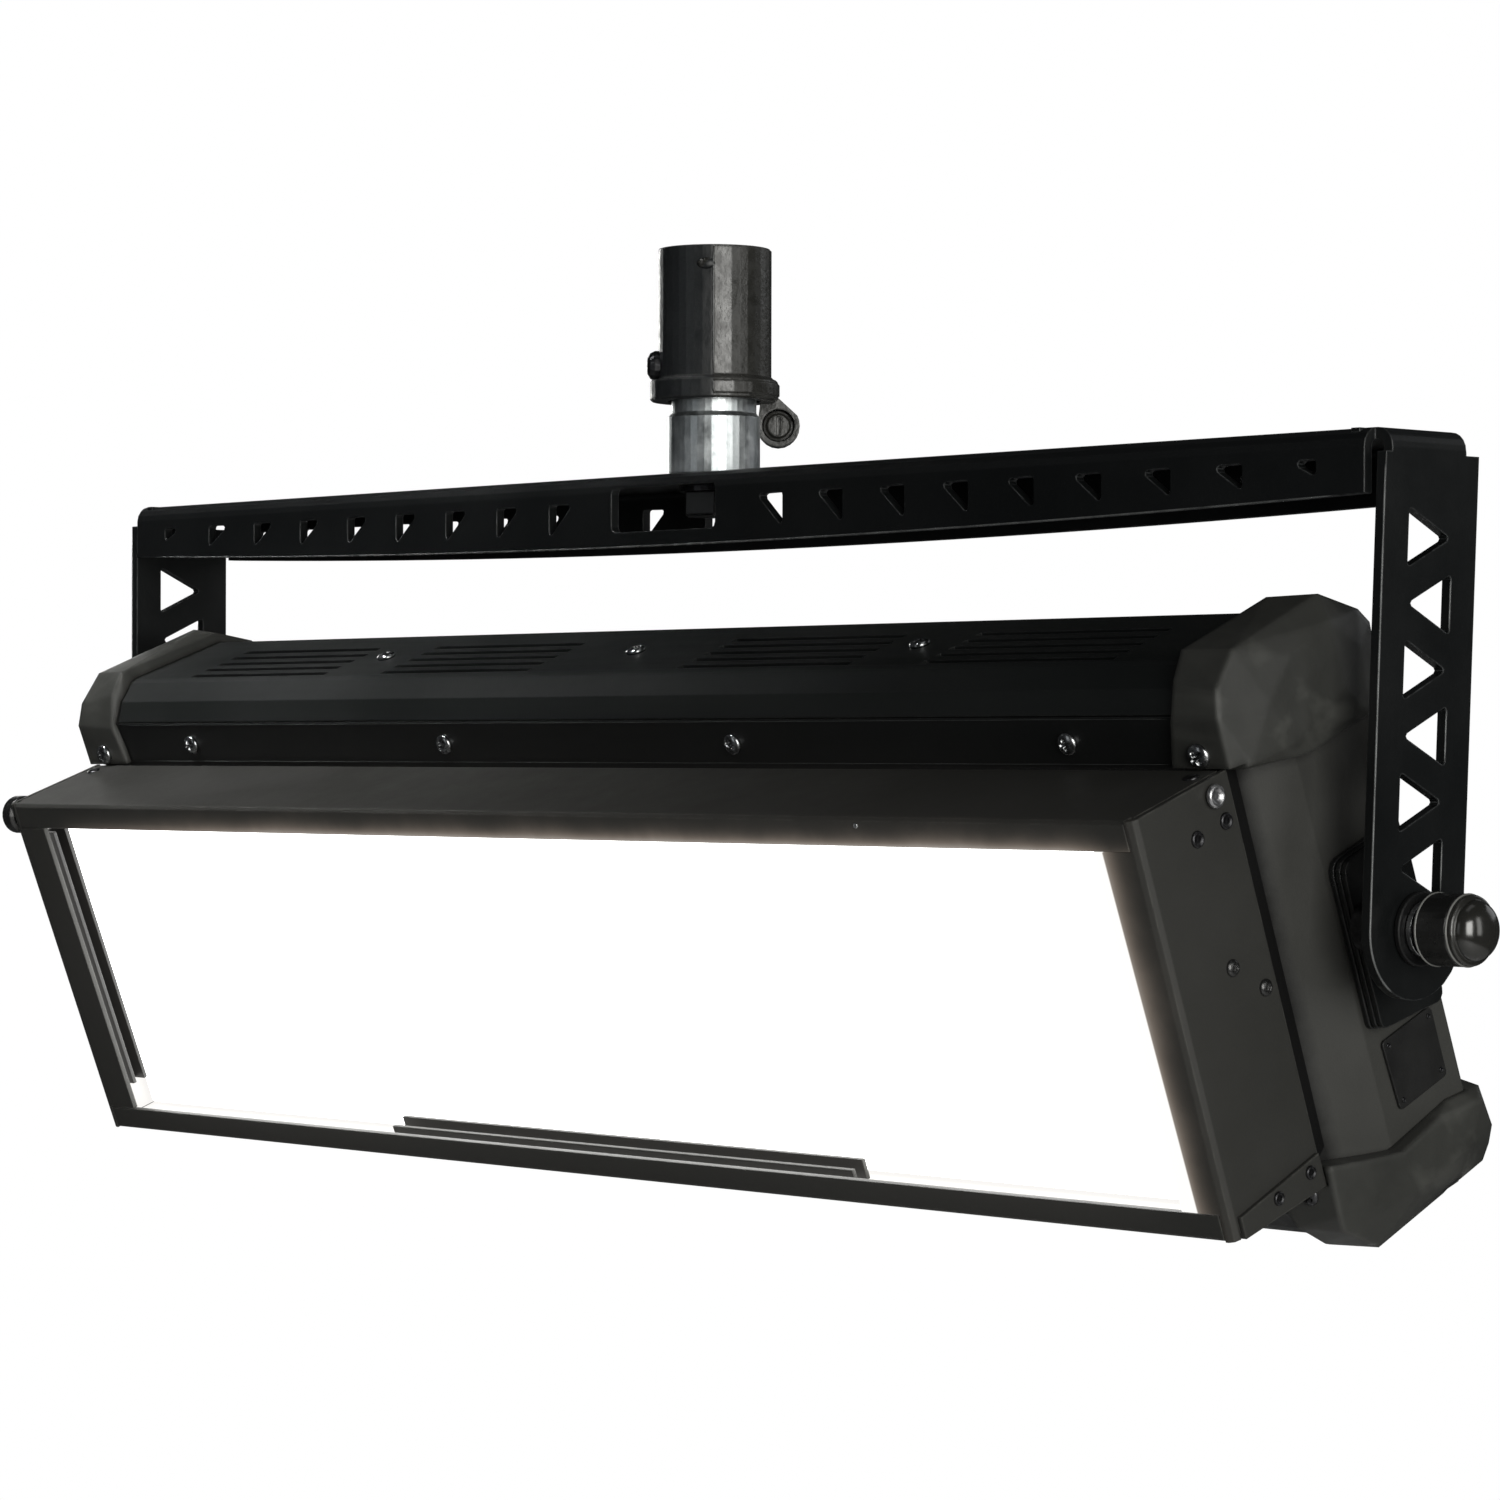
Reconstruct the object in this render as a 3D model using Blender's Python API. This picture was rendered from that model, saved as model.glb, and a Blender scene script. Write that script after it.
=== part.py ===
"""Linear soft light hanging in a bent yoke from a 28 mm spigot.

Metres, +Z up. The origin is the centre of the hanger socket's flat top face.
X runs along the beam, the light points to -Y and 20.6 degrees down.
"""
import math

import bmesh
import bpy
from mathutils import Matrix, Vector

MM = 0.001
GAP = 0.3                      # clearance between touching pieces

# hanger socket and spigot
TOP = 68.3                     # socket top above the yoke web
SLEEVE_R = 16.9
COLLAR_R = 19.4
STEP = 0.5                     # one half of the casting stands proud by this
BORE_R = 14.3
PIN_R = 14.0
NECK_R = 12.9
SEAM_DEG = -42.5               # direction of the casting's parting line

# yoke
BEAM = 278.0                   # half length over the legs
SHEET = 3.0
WEB_W = 20.75                  # half width of the channel
LEG_W = 18.8                   # half width of the legs
BEND_R = 5.0
FLANGE_D = 21.9                # flange depth at mid length
FLANGE_K = 0.226               # how much shallower it gets at the ends
FLANGE_END = 272.2
HOLE_0 = 52.8                  # first triangle
HOLE_STEP = 25.4
WINDOW = 23.5                  # half width of the middle opening
LEAN = 0.0404                  # the right leg leans inwards
PIVOT_Z = -129.5

# head, in its own frame: f forwards, u upwards, from the pivot
TILT = 20.6
BODY_X = 236.0
BAND_F = 31.2
BAND_U = 70.2
TOP_U = 81.5
CREASE_F = 20.8
TOP_BACK = -18.0
REAR_F = -28.6
REAR_U = 73.0
WALL = 2.0
END_X = 250.0
END_FRONT_X = 244.0
END_CREASE = 4.5
SLOT_L = 72.0
SLOT_W = 2.5
SLOT_PITCH = 5.7

# hood
HOOD_X = 252.0
HOOD_BACK = 33.2
HOOD_FRONT = 70.8
HOOD_TOP = 56.6
HOOD_BOTTOM = -59.3
HOOD_LEAN = 0.014
HOOD_T = 1.6
LIP = 8.1
LIP_LOW = 7.4
SIDE_LIP = 16.0
HINGE_F = 40.3
HINGE_U = 52.0
RAIL_1 = 58.6
RAIL_2 = 63.2
UPSTAND = 104.0
DIFF_F = 55.0
LATCH_F = 64.5
LATCH_U = 50.6


# ------------------------------------------------------------ mesh helpers

def face_loop(bm, rings, close=True):
    for a, b in zip(rings, rings[1:]):
        n = len(a)
        for i in range(n if close else n - 1):
            j = (i + 1) % n
            bm.faces.new((a[i], a[j], b[j], b[i]))


def prism(points, lo, hi, place):
    """Closed prism of a 2-D outline; place(p, q, t) gives the 3-D point in mm."""
    bm = bmesh.new()
    low = [bm.verts.new(place(p, q, lo)) for p, q in points]
    high = [bm.verts.new(place(p, q, hi)) for p, q in points]
    face_loop(bm, [low, high])
    bm.faces.new(low[::-1])
    bm.faces.new(high)
    return fixed(bm)


def fixed(bm):
    bmesh.ops.recalc_face_normals(bm, faces=bm.faces)
    if bm.calc_volume(signed=True) < 0:
        bmesh.ops.reverse_faces(bm, faces=bm.faces)
    return bm


def along_x(p, q, t):          # outline in f, u (head) swept along X
    return (t, -p, q)


def along_y(p, q, t):          # outline in X, Z swept along Y
    return (p, t, q)


def along_xyz(p, q, t):        # outline in Y, Z swept along X
    return (t, p, q)


def along_u(p, q, t):          # outline in X, f swept along u
    return (p, -q, t)


def box(x0, x1, y0, y1, z0, z1):
    return prism([(x0, y0), (x1, y0), (x1, y1), (x0, y1)], z0, z1, lambda p, q, t: (p, q, t))


def head_box(x0, x1, f0, f1, u0, u1):
    return box(x0, x1, -max(f0, f1), -min(f0, f1), u0, u1)


def turned(profile, seg, start=0.0, sweep=360.0, tilt=None):
    """Solid of revolution about Z from (radius, z) pairs; radius 0 becomes a pole."""
    bm = bmesh.new()
    full = sweep >= 360.0
    count = seg if full else seg + 1
    rings = []
    for r, z in profile:
        if r == 0:
            rings.append([bm.verts.new((0, 0, z))])
        else:
            rings.append([bm.verts.new((r * math.cos(a), r * math.sin(a), z)) for a in
                          (math.radians(start + sweep * i / seg) for i in range(count))])
    loop = rings + ([rings[0]] if profile[0][0] != 0 and profile[-1][0] != 0 else [])
    for a, b in zip(loop, loop[1:]):
        for i in range(count if full else count - 1):
            j = (i + 1) % count
            if len(a) == 1 and len(b) == 1:
                continue
            if len(a) == 1:
                bm.faces.new((a[0], b[i], b[j]))
            elif len(b) == 1:
                bm.faces.new((a[i], a[j], b[0]))
            else:
                bm.faces.new((a[i], a[j], b[j], b[i]))
    if not full:
        bm.faces.new([r[0] for r in rings])
        bm.faces.new([r[-1] for r in rings][::-1])
    if tilt is not None:
        bmesh.ops.transform(bm, matrix=tilt, verts=bm.verts)
    return fixed(bm)


def moved(bm, x=0.0, y=0.0, z=0.0):
    bmesh.ops.translate(bm, vec=Vector((x, y, z)), verts=bm.verts)
    return bm


def spun(bm, matrix):
    bmesh.ops.transform(bm, matrix=matrix, verts=bm.verts)
    return fixed(bm)


def mirrored_x(bm):
    bmesh.ops.scale(bm, vec=Vector((-1, 1, 1)), verts=bm.verts)
    bmesh.ops.reverse_faces(bm, faces=bm.faces)
    return bm


def mirrored_z(bm):
    bmesh.ops.scale(bm, vec=Vector((1, 1, -1)), verts=bm.verts)
    bmesh.ops.reverse_faces(bm, faces=bm.faces)
    return bm


def joined(parts):
    """Several separate closed pieces in one mesh, for use as one cutter."""
    out = bmesh.new()
    for part in parts:
        mesh = bpy.data.meshes.new("piece")
        part.to_mesh(mesh)
        part.free()
        out.from_mesh(mesh)
        bpy.data.meshes.remove(mesh)
    return out


def boolean(bm, other, how):
    """Exact Boolean of two closed meshes through the Boolean modifier."""
    objects = []
    for part in (bm, other):
        mesh = bpy.data.meshes.new("temp")
        part.to_mesh(mesh)
        part.free()
        ob = bpy.data.objects.new("temp", mesh)
        bpy.context.scene.collection.objects.link(ob)
        objects.append(ob)
    base, tool = objects
    tool.hide_render = True
    tool.display_type = "WIRE"
    mod = base.modifiers.new("cut", "BOOLEAN")
    mod.operation = how
    mod.solver = "EXACT"
    mod.object = tool
    bpy.context.view_layer.update()
    ready = base.evaluated_get(bpy.context.evaluated_depsgraph_get())
    out = bmesh.new()
    out.from_mesh(ready.to_mesh())
    ready.to_mesh_clear()
    for ob in objects:
        mesh = ob.data
        bpy.data.objects.remove(ob, do_unlink=True)
        bpy.data.meshes.remove(mesh)
    bmesh.ops.remove_doubles(out, verts=out.verts, dist=0.002)
    bmesh.ops.dissolve_degenerate(out, edges=out.edges, dist=0.001)
    return out


def cut(bm, *tools):
    return boolean(bm, joined(list(tools)), "DIFFERENCE")


def add(bm, *parts):
    for part in parts:
        bm = boolean(bm, part, "UNION")
    return bm


def keep(bm, tool):
    return boolean(bm, tool, "INTERSECT")


def hull(points):
    bm = bmesh.new()
    for p in points:
        bm.verts.new(p)
    out = bmesh.ops.convex_hull(bm, input=bm.verts)
    loose = [v for v in bm.verts if not v.link_faces]
    bmesh.ops.delete(bm, geom=loose, context="VERTS")
    bmesh.ops.dissolve_limit(bm, angle_limit=math.radians(1.0), verts=bm.verts, edges=bm.edges)
    return fixed(bm)


def bevelled(bm, width, segments=1, least=30.0):
    edges = [e for e in bm.edges if len(e.link_faces) == 2 and e.calc_face_angle(0) > math.radians(least)]
    bmesh.ops.bevel(bm, geom=edges, offset=width, segments=segments, profile=0.5, affect="EDGES", clamp_overlap=True)
    return fixed(bm)


def rounded(points, radius, steps=3):
    """Outline with its corners rounded."""
    out = []
    n = len(points)
    for i in range(n):
        a, b, c = (Vector(points[i - 1]), Vector(points[i]), Vector(points[(i + 1) % n]))
        r = radius[i] if isinstance(radius, (list, tuple)) else radius
        if r <= 0:
            out.append(tuple(b))
            continue
        u, v = (a - b).normalized(), (c - b).normalized()
        half = u.angle(v) / 2
        d = min(r / math.tan(half), 0.45 * (a - b).length, 0.45 * (c - b).length)
        rr = d * math.tan(half)
        centre = b + (u + v).normalized() * (rr / math.sin(half))
        s, e = b + u * d - centre, b + v * d - centre
        turn = s.angle_signed(e)
        for k in range(steps + 1):
            t = -turn * k / steps
            out.append((centre.x + s.x * math.cos(t) - s.y * math.sin(t),
                        centre.y + s.x * math.sin(t) + s.y * math.cos(t)))
    return out


def disc(r, a, b, seg=24, hole=0.0, chamfer=0.0):
    """Disc or ring about the X axis from x=a to x=b."""
    a, b = min(a, b), max(a, b)
    c = chamfer
    if hole:
        prof = [(hole, a), (r - c, a), (r, a + c), (r, b - c), (r - c, b), (hole, b)] if c else \
            [(hole, a), (r, a), (r, b), (hole, b)]
    else:
        prof = [(0, a), (r - c, a), (r, a + c), (r, b - c), (r - c, b), (0, b)] if c else \
            [(0, a), (r, a), (r, b), (0, b)]
    return turned(prof, seg, tilt=Matrix.Rotation(math.radians(90), 4, "Y"))


def rod_y(r, a, b, seg=16):
    """Rod about the Y axis from y=a to y=b."""
    return turned([(0, a), (r, a), (r, b), (0, b)], seg, tilt=Matrix.Rotation(math.radians(-90), 4, "X"))


# --------------------------------------------------------- objects, materials

LOOKS = {
    "black_paint": ((0.012, 0.013, 0.013), 0.42, 0.0),
    "hood_paint": ((0.030, 0.030, 0.029), 0.50, 0.0),
    "black_plastic": ((0.020, 0.020, 0.020), 0.38, 0.0),
    "bumper_plastic": ((0.035, 0.036, 0.034), 0.42, 0.0),
    "zinc": ((0.62, 0.63, 0.64), 0.28, 1.0),
    "bright_steel": ((0.55, 0.55, 0.56), 0.25, 1.0),
    "dark_steel": ((0.10, 0.10, 0.11), 0.40, 1.0),
    "diffuser": ((0.92, 0.92, 0.90), 0.45, 0.0),
    "aluminium": ((0.70, 0.71, 0.72), 0.35, 1.0),
    "white_board": ((0.85, 0.85, 0.83), 0.50, 0.0),
    "display": ((0.02, 0.05, 0.06), 0.10, 0.0),
    "rubber": ((0.015, 0.015, 0.015), 0.80, 0.0),
}


def node(name, bm, look, place, pivot=(0, 0, 0), smooth=30.0):
    """Makes the named object: mesh in mm about pivot, placed by a matrix in metres."""
    bmesh.ops.translate(bm, vec=-Vector(pivot), verts=bm.verts)
    bmesh.ops.scale(bm, vec=Vector((MM, MM, MM)), verts=bm.verts)
    bmesh.ops.triangulate(bm, faces=[f for f in bm.faces if len(f.verts) > 4])
    limit = math.radians(smooth)
    for f in bm.faces:
        f.smooth = True
    for e in bm.edges:
        e.smooth = len(e.link_faces) == 2 and e.calc_face_angle(0) < limit
    mesh = bpy.data.meshes.new(name)
    bm.to_mesh(mesh)
    bm.free()
    ob = bpy.data.objects.new(name, mesh)
    bpy.context.scene.collection.objects.link(ob)
    mat = bpy.data.materials.new(name + "_look")
    mat.use_nodes = True
    shader = mat.node_tree.nodes["Principled BSDF"]
    colour, rough, metal = LOOKS[look]
    shader.inputs["Base Color"].default_value = (*colour, 1.0)
    shader.inputs["Roughness"].default_value = rough
    shader.inputs["Metallic"].default_value = metal
    mesh.materials.append(mat)
    shift = Matrix.Translation(Vector(pivot) * MM)
    ob.matrix_world = place @ shift
    return ob


WORLD = Matrix.Translation(Vector((0, 0, -TOP * MM)))
HEAD = Matrix.Translation(Vector((0, 0, (PIVOT_Z - TOP) * MM))) @ Matrix.Rotation(math.radians(TILT), 4, "X")


def start():
    for ob in list(bpy.data.objects):
        bpy.data.objects.remove(ob, do_unlink=True)


# ------------------------------------------------------------ socket, spigot

def sideways(bm):
    """Turns a piece drawn with s on X and depth on Y to face the parting line."""
    return spun(bm, Matrix.Rotation(math.radians(SEAM_DEG + 90.0), 4, "Z"))


def make_socket():
    body = turned([(BORE_R, 22.3), (18.8, 22.3), (COLLAR_R, 22.9), (COLLAR_R, 28.0), (18.9, 28.6),
                   (SLEEVE_R + 0.6, 28.7), (SLEEVE_R, 29.3), (SLEEVE_R, TOP), (0, TOP), (0, 60.0), (BORE_R, 60.0)], 40)
    proud = turned([(16.0, 23.0), (COLLAR_R + STEP - 1.0, 23.0), (COLLAR_R + STEP, 24.0), (COLLAR_R + STEP, 27.2),
                    (COLLAR_R - 0.6, 28.4), (SLEEVE_R + STEP, 29.6), (SLEEVE_R + STEP, TOP - 0.5), (16.0, TOP - 0.5)],
                   20, start=SEAM_DEG, sweep=180.0)
    body = add(body, proud)
    lug = [(14.2, 24.0), (19.5, 24.0)]
    for k in range(15):
        a = math.radians(28 - k * 14.5)
        lug.append((19.6 + 6.5 * math.cos(a), 15.6 + 6.5 * math.sin(a)))
    eye = sideways(prism(lug, 6.0, 13.0, along_y))
    body = add(body, eye)
    hole = sideways(moved(rod_y(5.0, 5.0, 14.0, 20), 19.6, 0, 15.6))
    nut_seat = sideways(moved(disc(4.9, -24.0, -15.8, 16), 0, 0, 33.1))
    body = cut(body, hole, nut_seat)
    node("hanger_socket", body, "black_paint", WORLD)

    screw = turned([(0, 0), (3.2, 0), (4.0, 0.8), (4.6, 0.9), (4.6, 5.6), (6.3, 5.8), (6.3, 10.2), (5.6, 11.0), (0, 11.0)],
                   20, tilt=Matrix.Rotation(math.radians(-90), 4, "X"))
    screw = cut(screw, box(-0.6, 0.6, -1, 0.7, -2.8, 2.8))
    node("socket_clamp_screw", sideways(moved(screw, 19.6, 7.6, 15.6)), "dark_steel", WORLD)

    bolt = turned([(0, 0), (4.6, 0), (4.6, 1.8), (3.9, 3.2), (2.4, 4.1), (0, 4.3)], 16,
                  tilt=Matrix.Rotation(math.radians(-90), 4, "Y"))
    node("socket_cross_bolt", sideways(moved(bolt, -16.1, 0, 33.1)), "dark_steel", WORLD)


def make_spigot():
    pin = turned([(0, GAP), (PIN_R, GAP), (PIN_R, 17.3), (PIN_R - 0.9, 18.4), (NECK_R, 18.7), (NECK_R, 23.6), (PIN_R, 25.0),
                  (PIN_R, 55.0), (12.4, 57.4), (0, 57.4)], 40)
    pin = cut(pin, moved(turned([(0, -2), (5.3, -2), (5.3, 26.0), (0, 28.0)], 16), 0, 0, 0))
    node("spigot", pin, "zinc", WORLD)
    washer = turned([(5.8, -5.1), (10.4, -5.1), (10.4, -3.3), (5.8, -3.3)], 28)
    node("spigot_washer", washer, "bright_steel", WORLD)
    shank = turned([(0, -8.0), (5.0, -8.0), (5.0, 22.0), (4.2, 23.0), (0, 23.0)], 20)
    head = turned([(0, -12.6), (8.8, -12.6), (9.8, -11.9), (9.8, -5.4), (0, -5.4)], 6, start=18.0)
    node("spigot_bolt", add(head, shank), "dark_steel", WORLD)


# -------------------------------------------------------------------- yoke

def flange_bottom(x):
    return -FLANGE_D * (1.0 - FLANGE_K * (x / BEAM) ** 2)


def channel():
    t, r, w = SHEET, BEND_R, WEB_W
    outer, inner = [], []
    for k in range(5):
        a = math.radians(90.0 * k / 4)
        outer.append((w - r + r * math.sin(a), -r + r * math.cos(a)))
        inner.append((w - r + (r - t) * math.sin(a), -r + (r - t) * math.cos(a)))
    side = outer + [(w, -30.0), (w - t, -30.0)] + inner[::-1]
    section = [(-y, z) for y, z in side[::-1]] + side
    bm = prism(section, -FLANGE_END, FLANGE_END, along_xyz)
    count = 28
    arc = [(-BEAM - 5 + (2 * BEAM + 10) * i / count, flange_bottom(-BEAM - 5 + (2 * BEAM + 10) * i / count))
           for i in range(count + 1)]
    trim = prism(arc + [(BEAM + 5, -40.0), (-BEAM - 5, -40.0)], -30.0, 30.0, along_y)
    bm = cut(bm, trim)
    tools = []
    for side_sign in (-1, 1):
        for j in range(9):
            x = HOLE_0 + HOLE_STEP * j
            low = flange_bottom(x) + (3.5 if j < 8 else 5.4)
            far = x - 11.2 if j < 8 else x - 9.4
            high = -7.8
            pts = [(x, high), (x, low), (far, high - 0.2)]
            pts = rounded([(side_sign * p, q) for p, q in pts], 0.9, 2)
            tools.append(prism(pts, -30.0, 30.0, along_y))
    win = rounded([(-WINDOW, -3.8), (WINDOW, -3.8), (WINDOW, -17.3), (-WINDOW, -17.3)], 1.8, 2)
    tools.append(prism(win, -30.0, 30.0, along_y))
    return cut(bm, *tools)


def leg(sign, lean):
    """Leg with the bend to the web, sign +1 right, -1 left."""
    t, r = SHEET, BEND_R
    drop = -PIVOT_Z + LEG_W + 4.0
    outer, inner = [], []
    for k in range(6):
        a = math.radians((90.0 + math.degrees(lean)) * k / 5)
        outer.append((BEAM - r + r * math.sin(a), -r + r * math.cos(a)))
        inner.append((BEAM - r + (r - t) * math.sin(a), -r + (r - t) * math.cos(a)))
    pts = [(FLANGE_END - 6.0, 0.0)] + outer + [(BEAM - lean * drop, -drop), (BEAM - t - lean * drop, -drop)] + inner[::-1] \
        + [(FLANGE_END - 6.0, -t)]
    bm = prism(pts, -LEG_W, LEG_W, along_y)
    steps = 14
    foot = [(LEG_W * math.cos(math.pi + math.pi * k / steps), PIVOT_Z + LEG_W * math.sin(math.pi + math.pi * k / steps))
            for k in range(steps + 1)]
    edge = 6.4
    shape = foot + [(LEG_W, -edge), (13.4, -edge), (13.4, 3.0), (-16.4, 3.0), (-16.4, -edge), (-LEG_W, -edge)]
    form = prism(shape, 268.0, 282.0, along_xyz)
    full = prism([(-LEG_W, -t - 1), (LEG_W, -t - 1), (LEG_W, 1), (-LEG_W, 1)], 260.0, 269.0, along_xyz)
    bm = keep(bm, add(form, full))
    tools = []
    half = 7.9
    for i in range(6):
        z = -28.1 - 17.15 * i
        if i % 2 == 0:
            tri = [(-8.9, z + half), (-8.9, z - half), (8.3, z)]
        else:
            tri = [(9.0, z + half), (9.0, z - half), (-8.3, z)]
        tools.append(prism(rounded(tri, 0.8, 2), 255.0, 290.0, along_xyz))
    tools.append(moved(disc(5.6, 255.0, 290.0, 24), 0, 0, PIVOT_Z))
    bm = cut(bm, *tools)
    return mirrored_x(bm) if sign < 0 else bm


def make_yoke():
    bm = add(channel(), leg(1, LEAN), leg(-1, 0.0))
    bolt_hole = turned([(0, -6.0), (5.7, -6.0), (5.7, 3.0), (0, 3.0)], 20)
    bm = cut(bm, bolt_hole)
    node("yoke_frame", bm, "black_paint", WORLD)


def make_tilt_hardware(side):
    """Friction washer, stud, washer, knob and cap at one leg."""
    sign = 1 if side == "right" else -1
    lean = LEAN if sign > 0 else 0.0
    face = BEAM - lean * (-PIVOT_Z)

    def put(bm):
        moved(bm, 0, 0, PIVOT_Z)
        return mirrored_x(bm) if sign < 0 else bm

    def leaned(bm):
        if lean:
            bmesh.ops.rotate(bm, cent=(face, 0, 0), matrix=Matrix.Rotation(math.atan(lean), 3, "Y"), verts=bm.verts)
        return bm

    washer = leaned(disc(9.8, face + GAP, face + 2.0, 32, hole=5.4, chamfer=0.3))
    node(f"friction_washer_{side}", put(washer), "rubber", WORLD)
    small = leaned(disc(7.4, face + 2.3, face + 3.8, 24, hole=4.7))
    node(f"knob_washer_{side}", put(small), "bright_steel", WORLD)
    base = face + 5.9
    pivot = (sign * base, 0, PIVOT_Z)
    stud = turned([(0, 257.6), (3.4, 257.6), (4.0, 258.4), (4.0, base + 8.0), (0, base + 8.0)], 18,
                  tilt=Matrix.Rotation(math.radians(90), 4, "Y"))
    node(f"tilt_stud_{side}", put(stud), "bright_steel", WORLD, pivot=pivot)
    knob = turned([(4.3, base), (8.7, base), (9.5, base + 0.8), (9.5, base + 10.6), (9.1, base + 11.0), (5.3, base + 11.0),
                   (5.3, base + 8.4), (4.3, base + 8.4)], 36, tilt=Matrix.Rotation(math.radians(90), 4, "Y"))
    node(f"tilt_knob_{side}", put(knob), "black_plastic", WORLD, pivot=pivot)
    dome = [(0, base + 8.8), (5.0, base + 8.8), (5.0, base + 11.3), (9.0, base + 11.3), (9.5, base + 11.8)]
    for k in range(1, 6):
        a = math.radians(90.0 * k / 6)
        dome.append((9.3 * math.cos(a) ** 1.12, base + 11.8 + 6.4 * math.sin(a) ** 1.1))
    dome.append((0, base + 11.8 + 6.4))
    cap = turned(dome, 36, tilt=Matrix.Rotation(math.radians(90), 4, "Y"))
    node(f"tilt_knob_cap_{side}", put(cap), "black_plastic", WORLD, pivot=pivot)


# --------------------------------------------------------------------- head

def body_outline(grow=0.0):
    """Closed outline of the whole body in f, u."""
    g = grow
    half = [(BAND_F + g, BAND_U + g * 0.5), (26.9 + g * 0.8, 76.4 + g * 0.6), (CREASE_F + g * 0.4, TOP_U - 0.6 + g), (CREASE_F - 2.0, TOP_U + g),
            (TOP_BACK, TOP_U + g), (REAR_F - g, REAR_U + g * 0.6)]
    return half + [(f, -u) for f, u in half[::-1]]


def make_front_frame():
    """Flat band above and below, and the wall that carries the light board."""
    f1, f0 = BAND_F, BAND_F - WALL
    pts = [(f1, -BAND_U), (f1, BAND_U), (12.0, BAND_U), (12.0, BAND_U - WALL), (f0, BAND_U - WALL),
           (f0, -BAND_U + WALL), (12.0, -BAND_U + WALL), (12.0, -BAND_U)]
    bm = prism(pts, -BODY_X, BODY_X, along_x)
    node("front_frame", bm, "black_paint", HEAD)


def vent_tools(sign):
    tools = []
    for cx in (-171.0, -70.0, 70.0, 171.0):
        for row in range(5):
            f = 16.4 - SLOT_PITCH * row
            x0, x1 = cx - SLOT_L / 2, cx + SLOT_L / 2
            tools.append(head_box(x0, x1, f - SLOT_W / 2, f + SLOT_W / 2, min(sign * 70.0, sign * 90.0), max(sign * 70.0, sign * 90.0)))
    return tools


def make_cover(sign):
    """Top or bottom cover: shoulder and slotted face."""
    outer = [(BAND_F - 0.6, BAND_U + GAP), (26.9, 76.4), (CREASE_F, TOP_U - 0.6), (CREASE_F - 2.0, TOP_U), (TOP_BACK, TOP_U)]
    inner = [(TOP_BACK, TOP_U - WALL), (CREASE_F - 2.4, TOP_U - WALL), (CREASE_F - 0.9, TOP_U - WALL - 0.6), (25.3, 75.2),
             (BAND_F - 3.2, BAND_U + GAP)]
    bm = prism([(f, sign * u) for f, u in outer + inner], -BODY_X, BODY_X, along_x)
    bm = cut(bm, *vent_tools(sign))
    node("top_cover" if sign > 0 else "bottom_cover", bm, "black_paint", HEAD)


def make_rear_cover():
    g = GAP
    outer = [(TOP_BACK - g, TOP_U), (REAR_F, REAR_U), (REAR_F, -REAR_U), (TOP_BACK - g, -TOP_U)]
    t = WALL
    inner = [(TOP_BACK - g, -TOP_U + t * 1.25), (REAR_F + t, -REAR_U + 0.9), (REAR_F + t, REAR_U - 0.9), (TOP_BACK - g, TOP_U - t * 1.25)]
    bm = prism(outer + inner, -BODY_X, BODY_X, along_x)
    tools = []
    for cx in (-180.0, 180.0):
        for row in range(6):
            u = 42.0 - 12.0 * row
            tools.append(head_box(cx - 34.0, cx + 34.0, REAR_F - 5, REAR_F + 6, u - 1.5, u + 1.5))
    tools.append(head_box(-98.0, 98.0, REAR_F - 5, REAR_F + 6, -44.0, 2.0))
    bm = cut(bm, *tools)
    node("rear_cover", bm, "black_paint", HEAD)


def chamfer_tool(shift=0.0):
    """Wedge that slopes the front of an end plate."""
    s = shift
    return prism([(END_FRONT_X + s, BAND_F + 8), (END_FRONT_X + s, BAND_F + s), (END_X + s, END_CREASE + s),
                  (END_X + 12, END_CREASE + s), (END_X + 12, BAND_F + 8)], -95.0, 95.0, along_u)


def make_end_plate(side):
    sign = 1 if side == "right" else -1
    bm = prism(body_outline(), BODY_X + GAP, END_X, along_x)
    bm = cut(bm, chamfer_tool())
    inner = prism(body_outline(-2.4), BODY_X - 5.0, END_X - 2.5, along_x)
    inner = cut(inner, chamfer_tool(-2.5))
    bm = cut(bm, inner)
    node(f"end_plate_{side}", mirrored_x(bm) if sign < 0 else bm, "hood_paint", HEAD)


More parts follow.
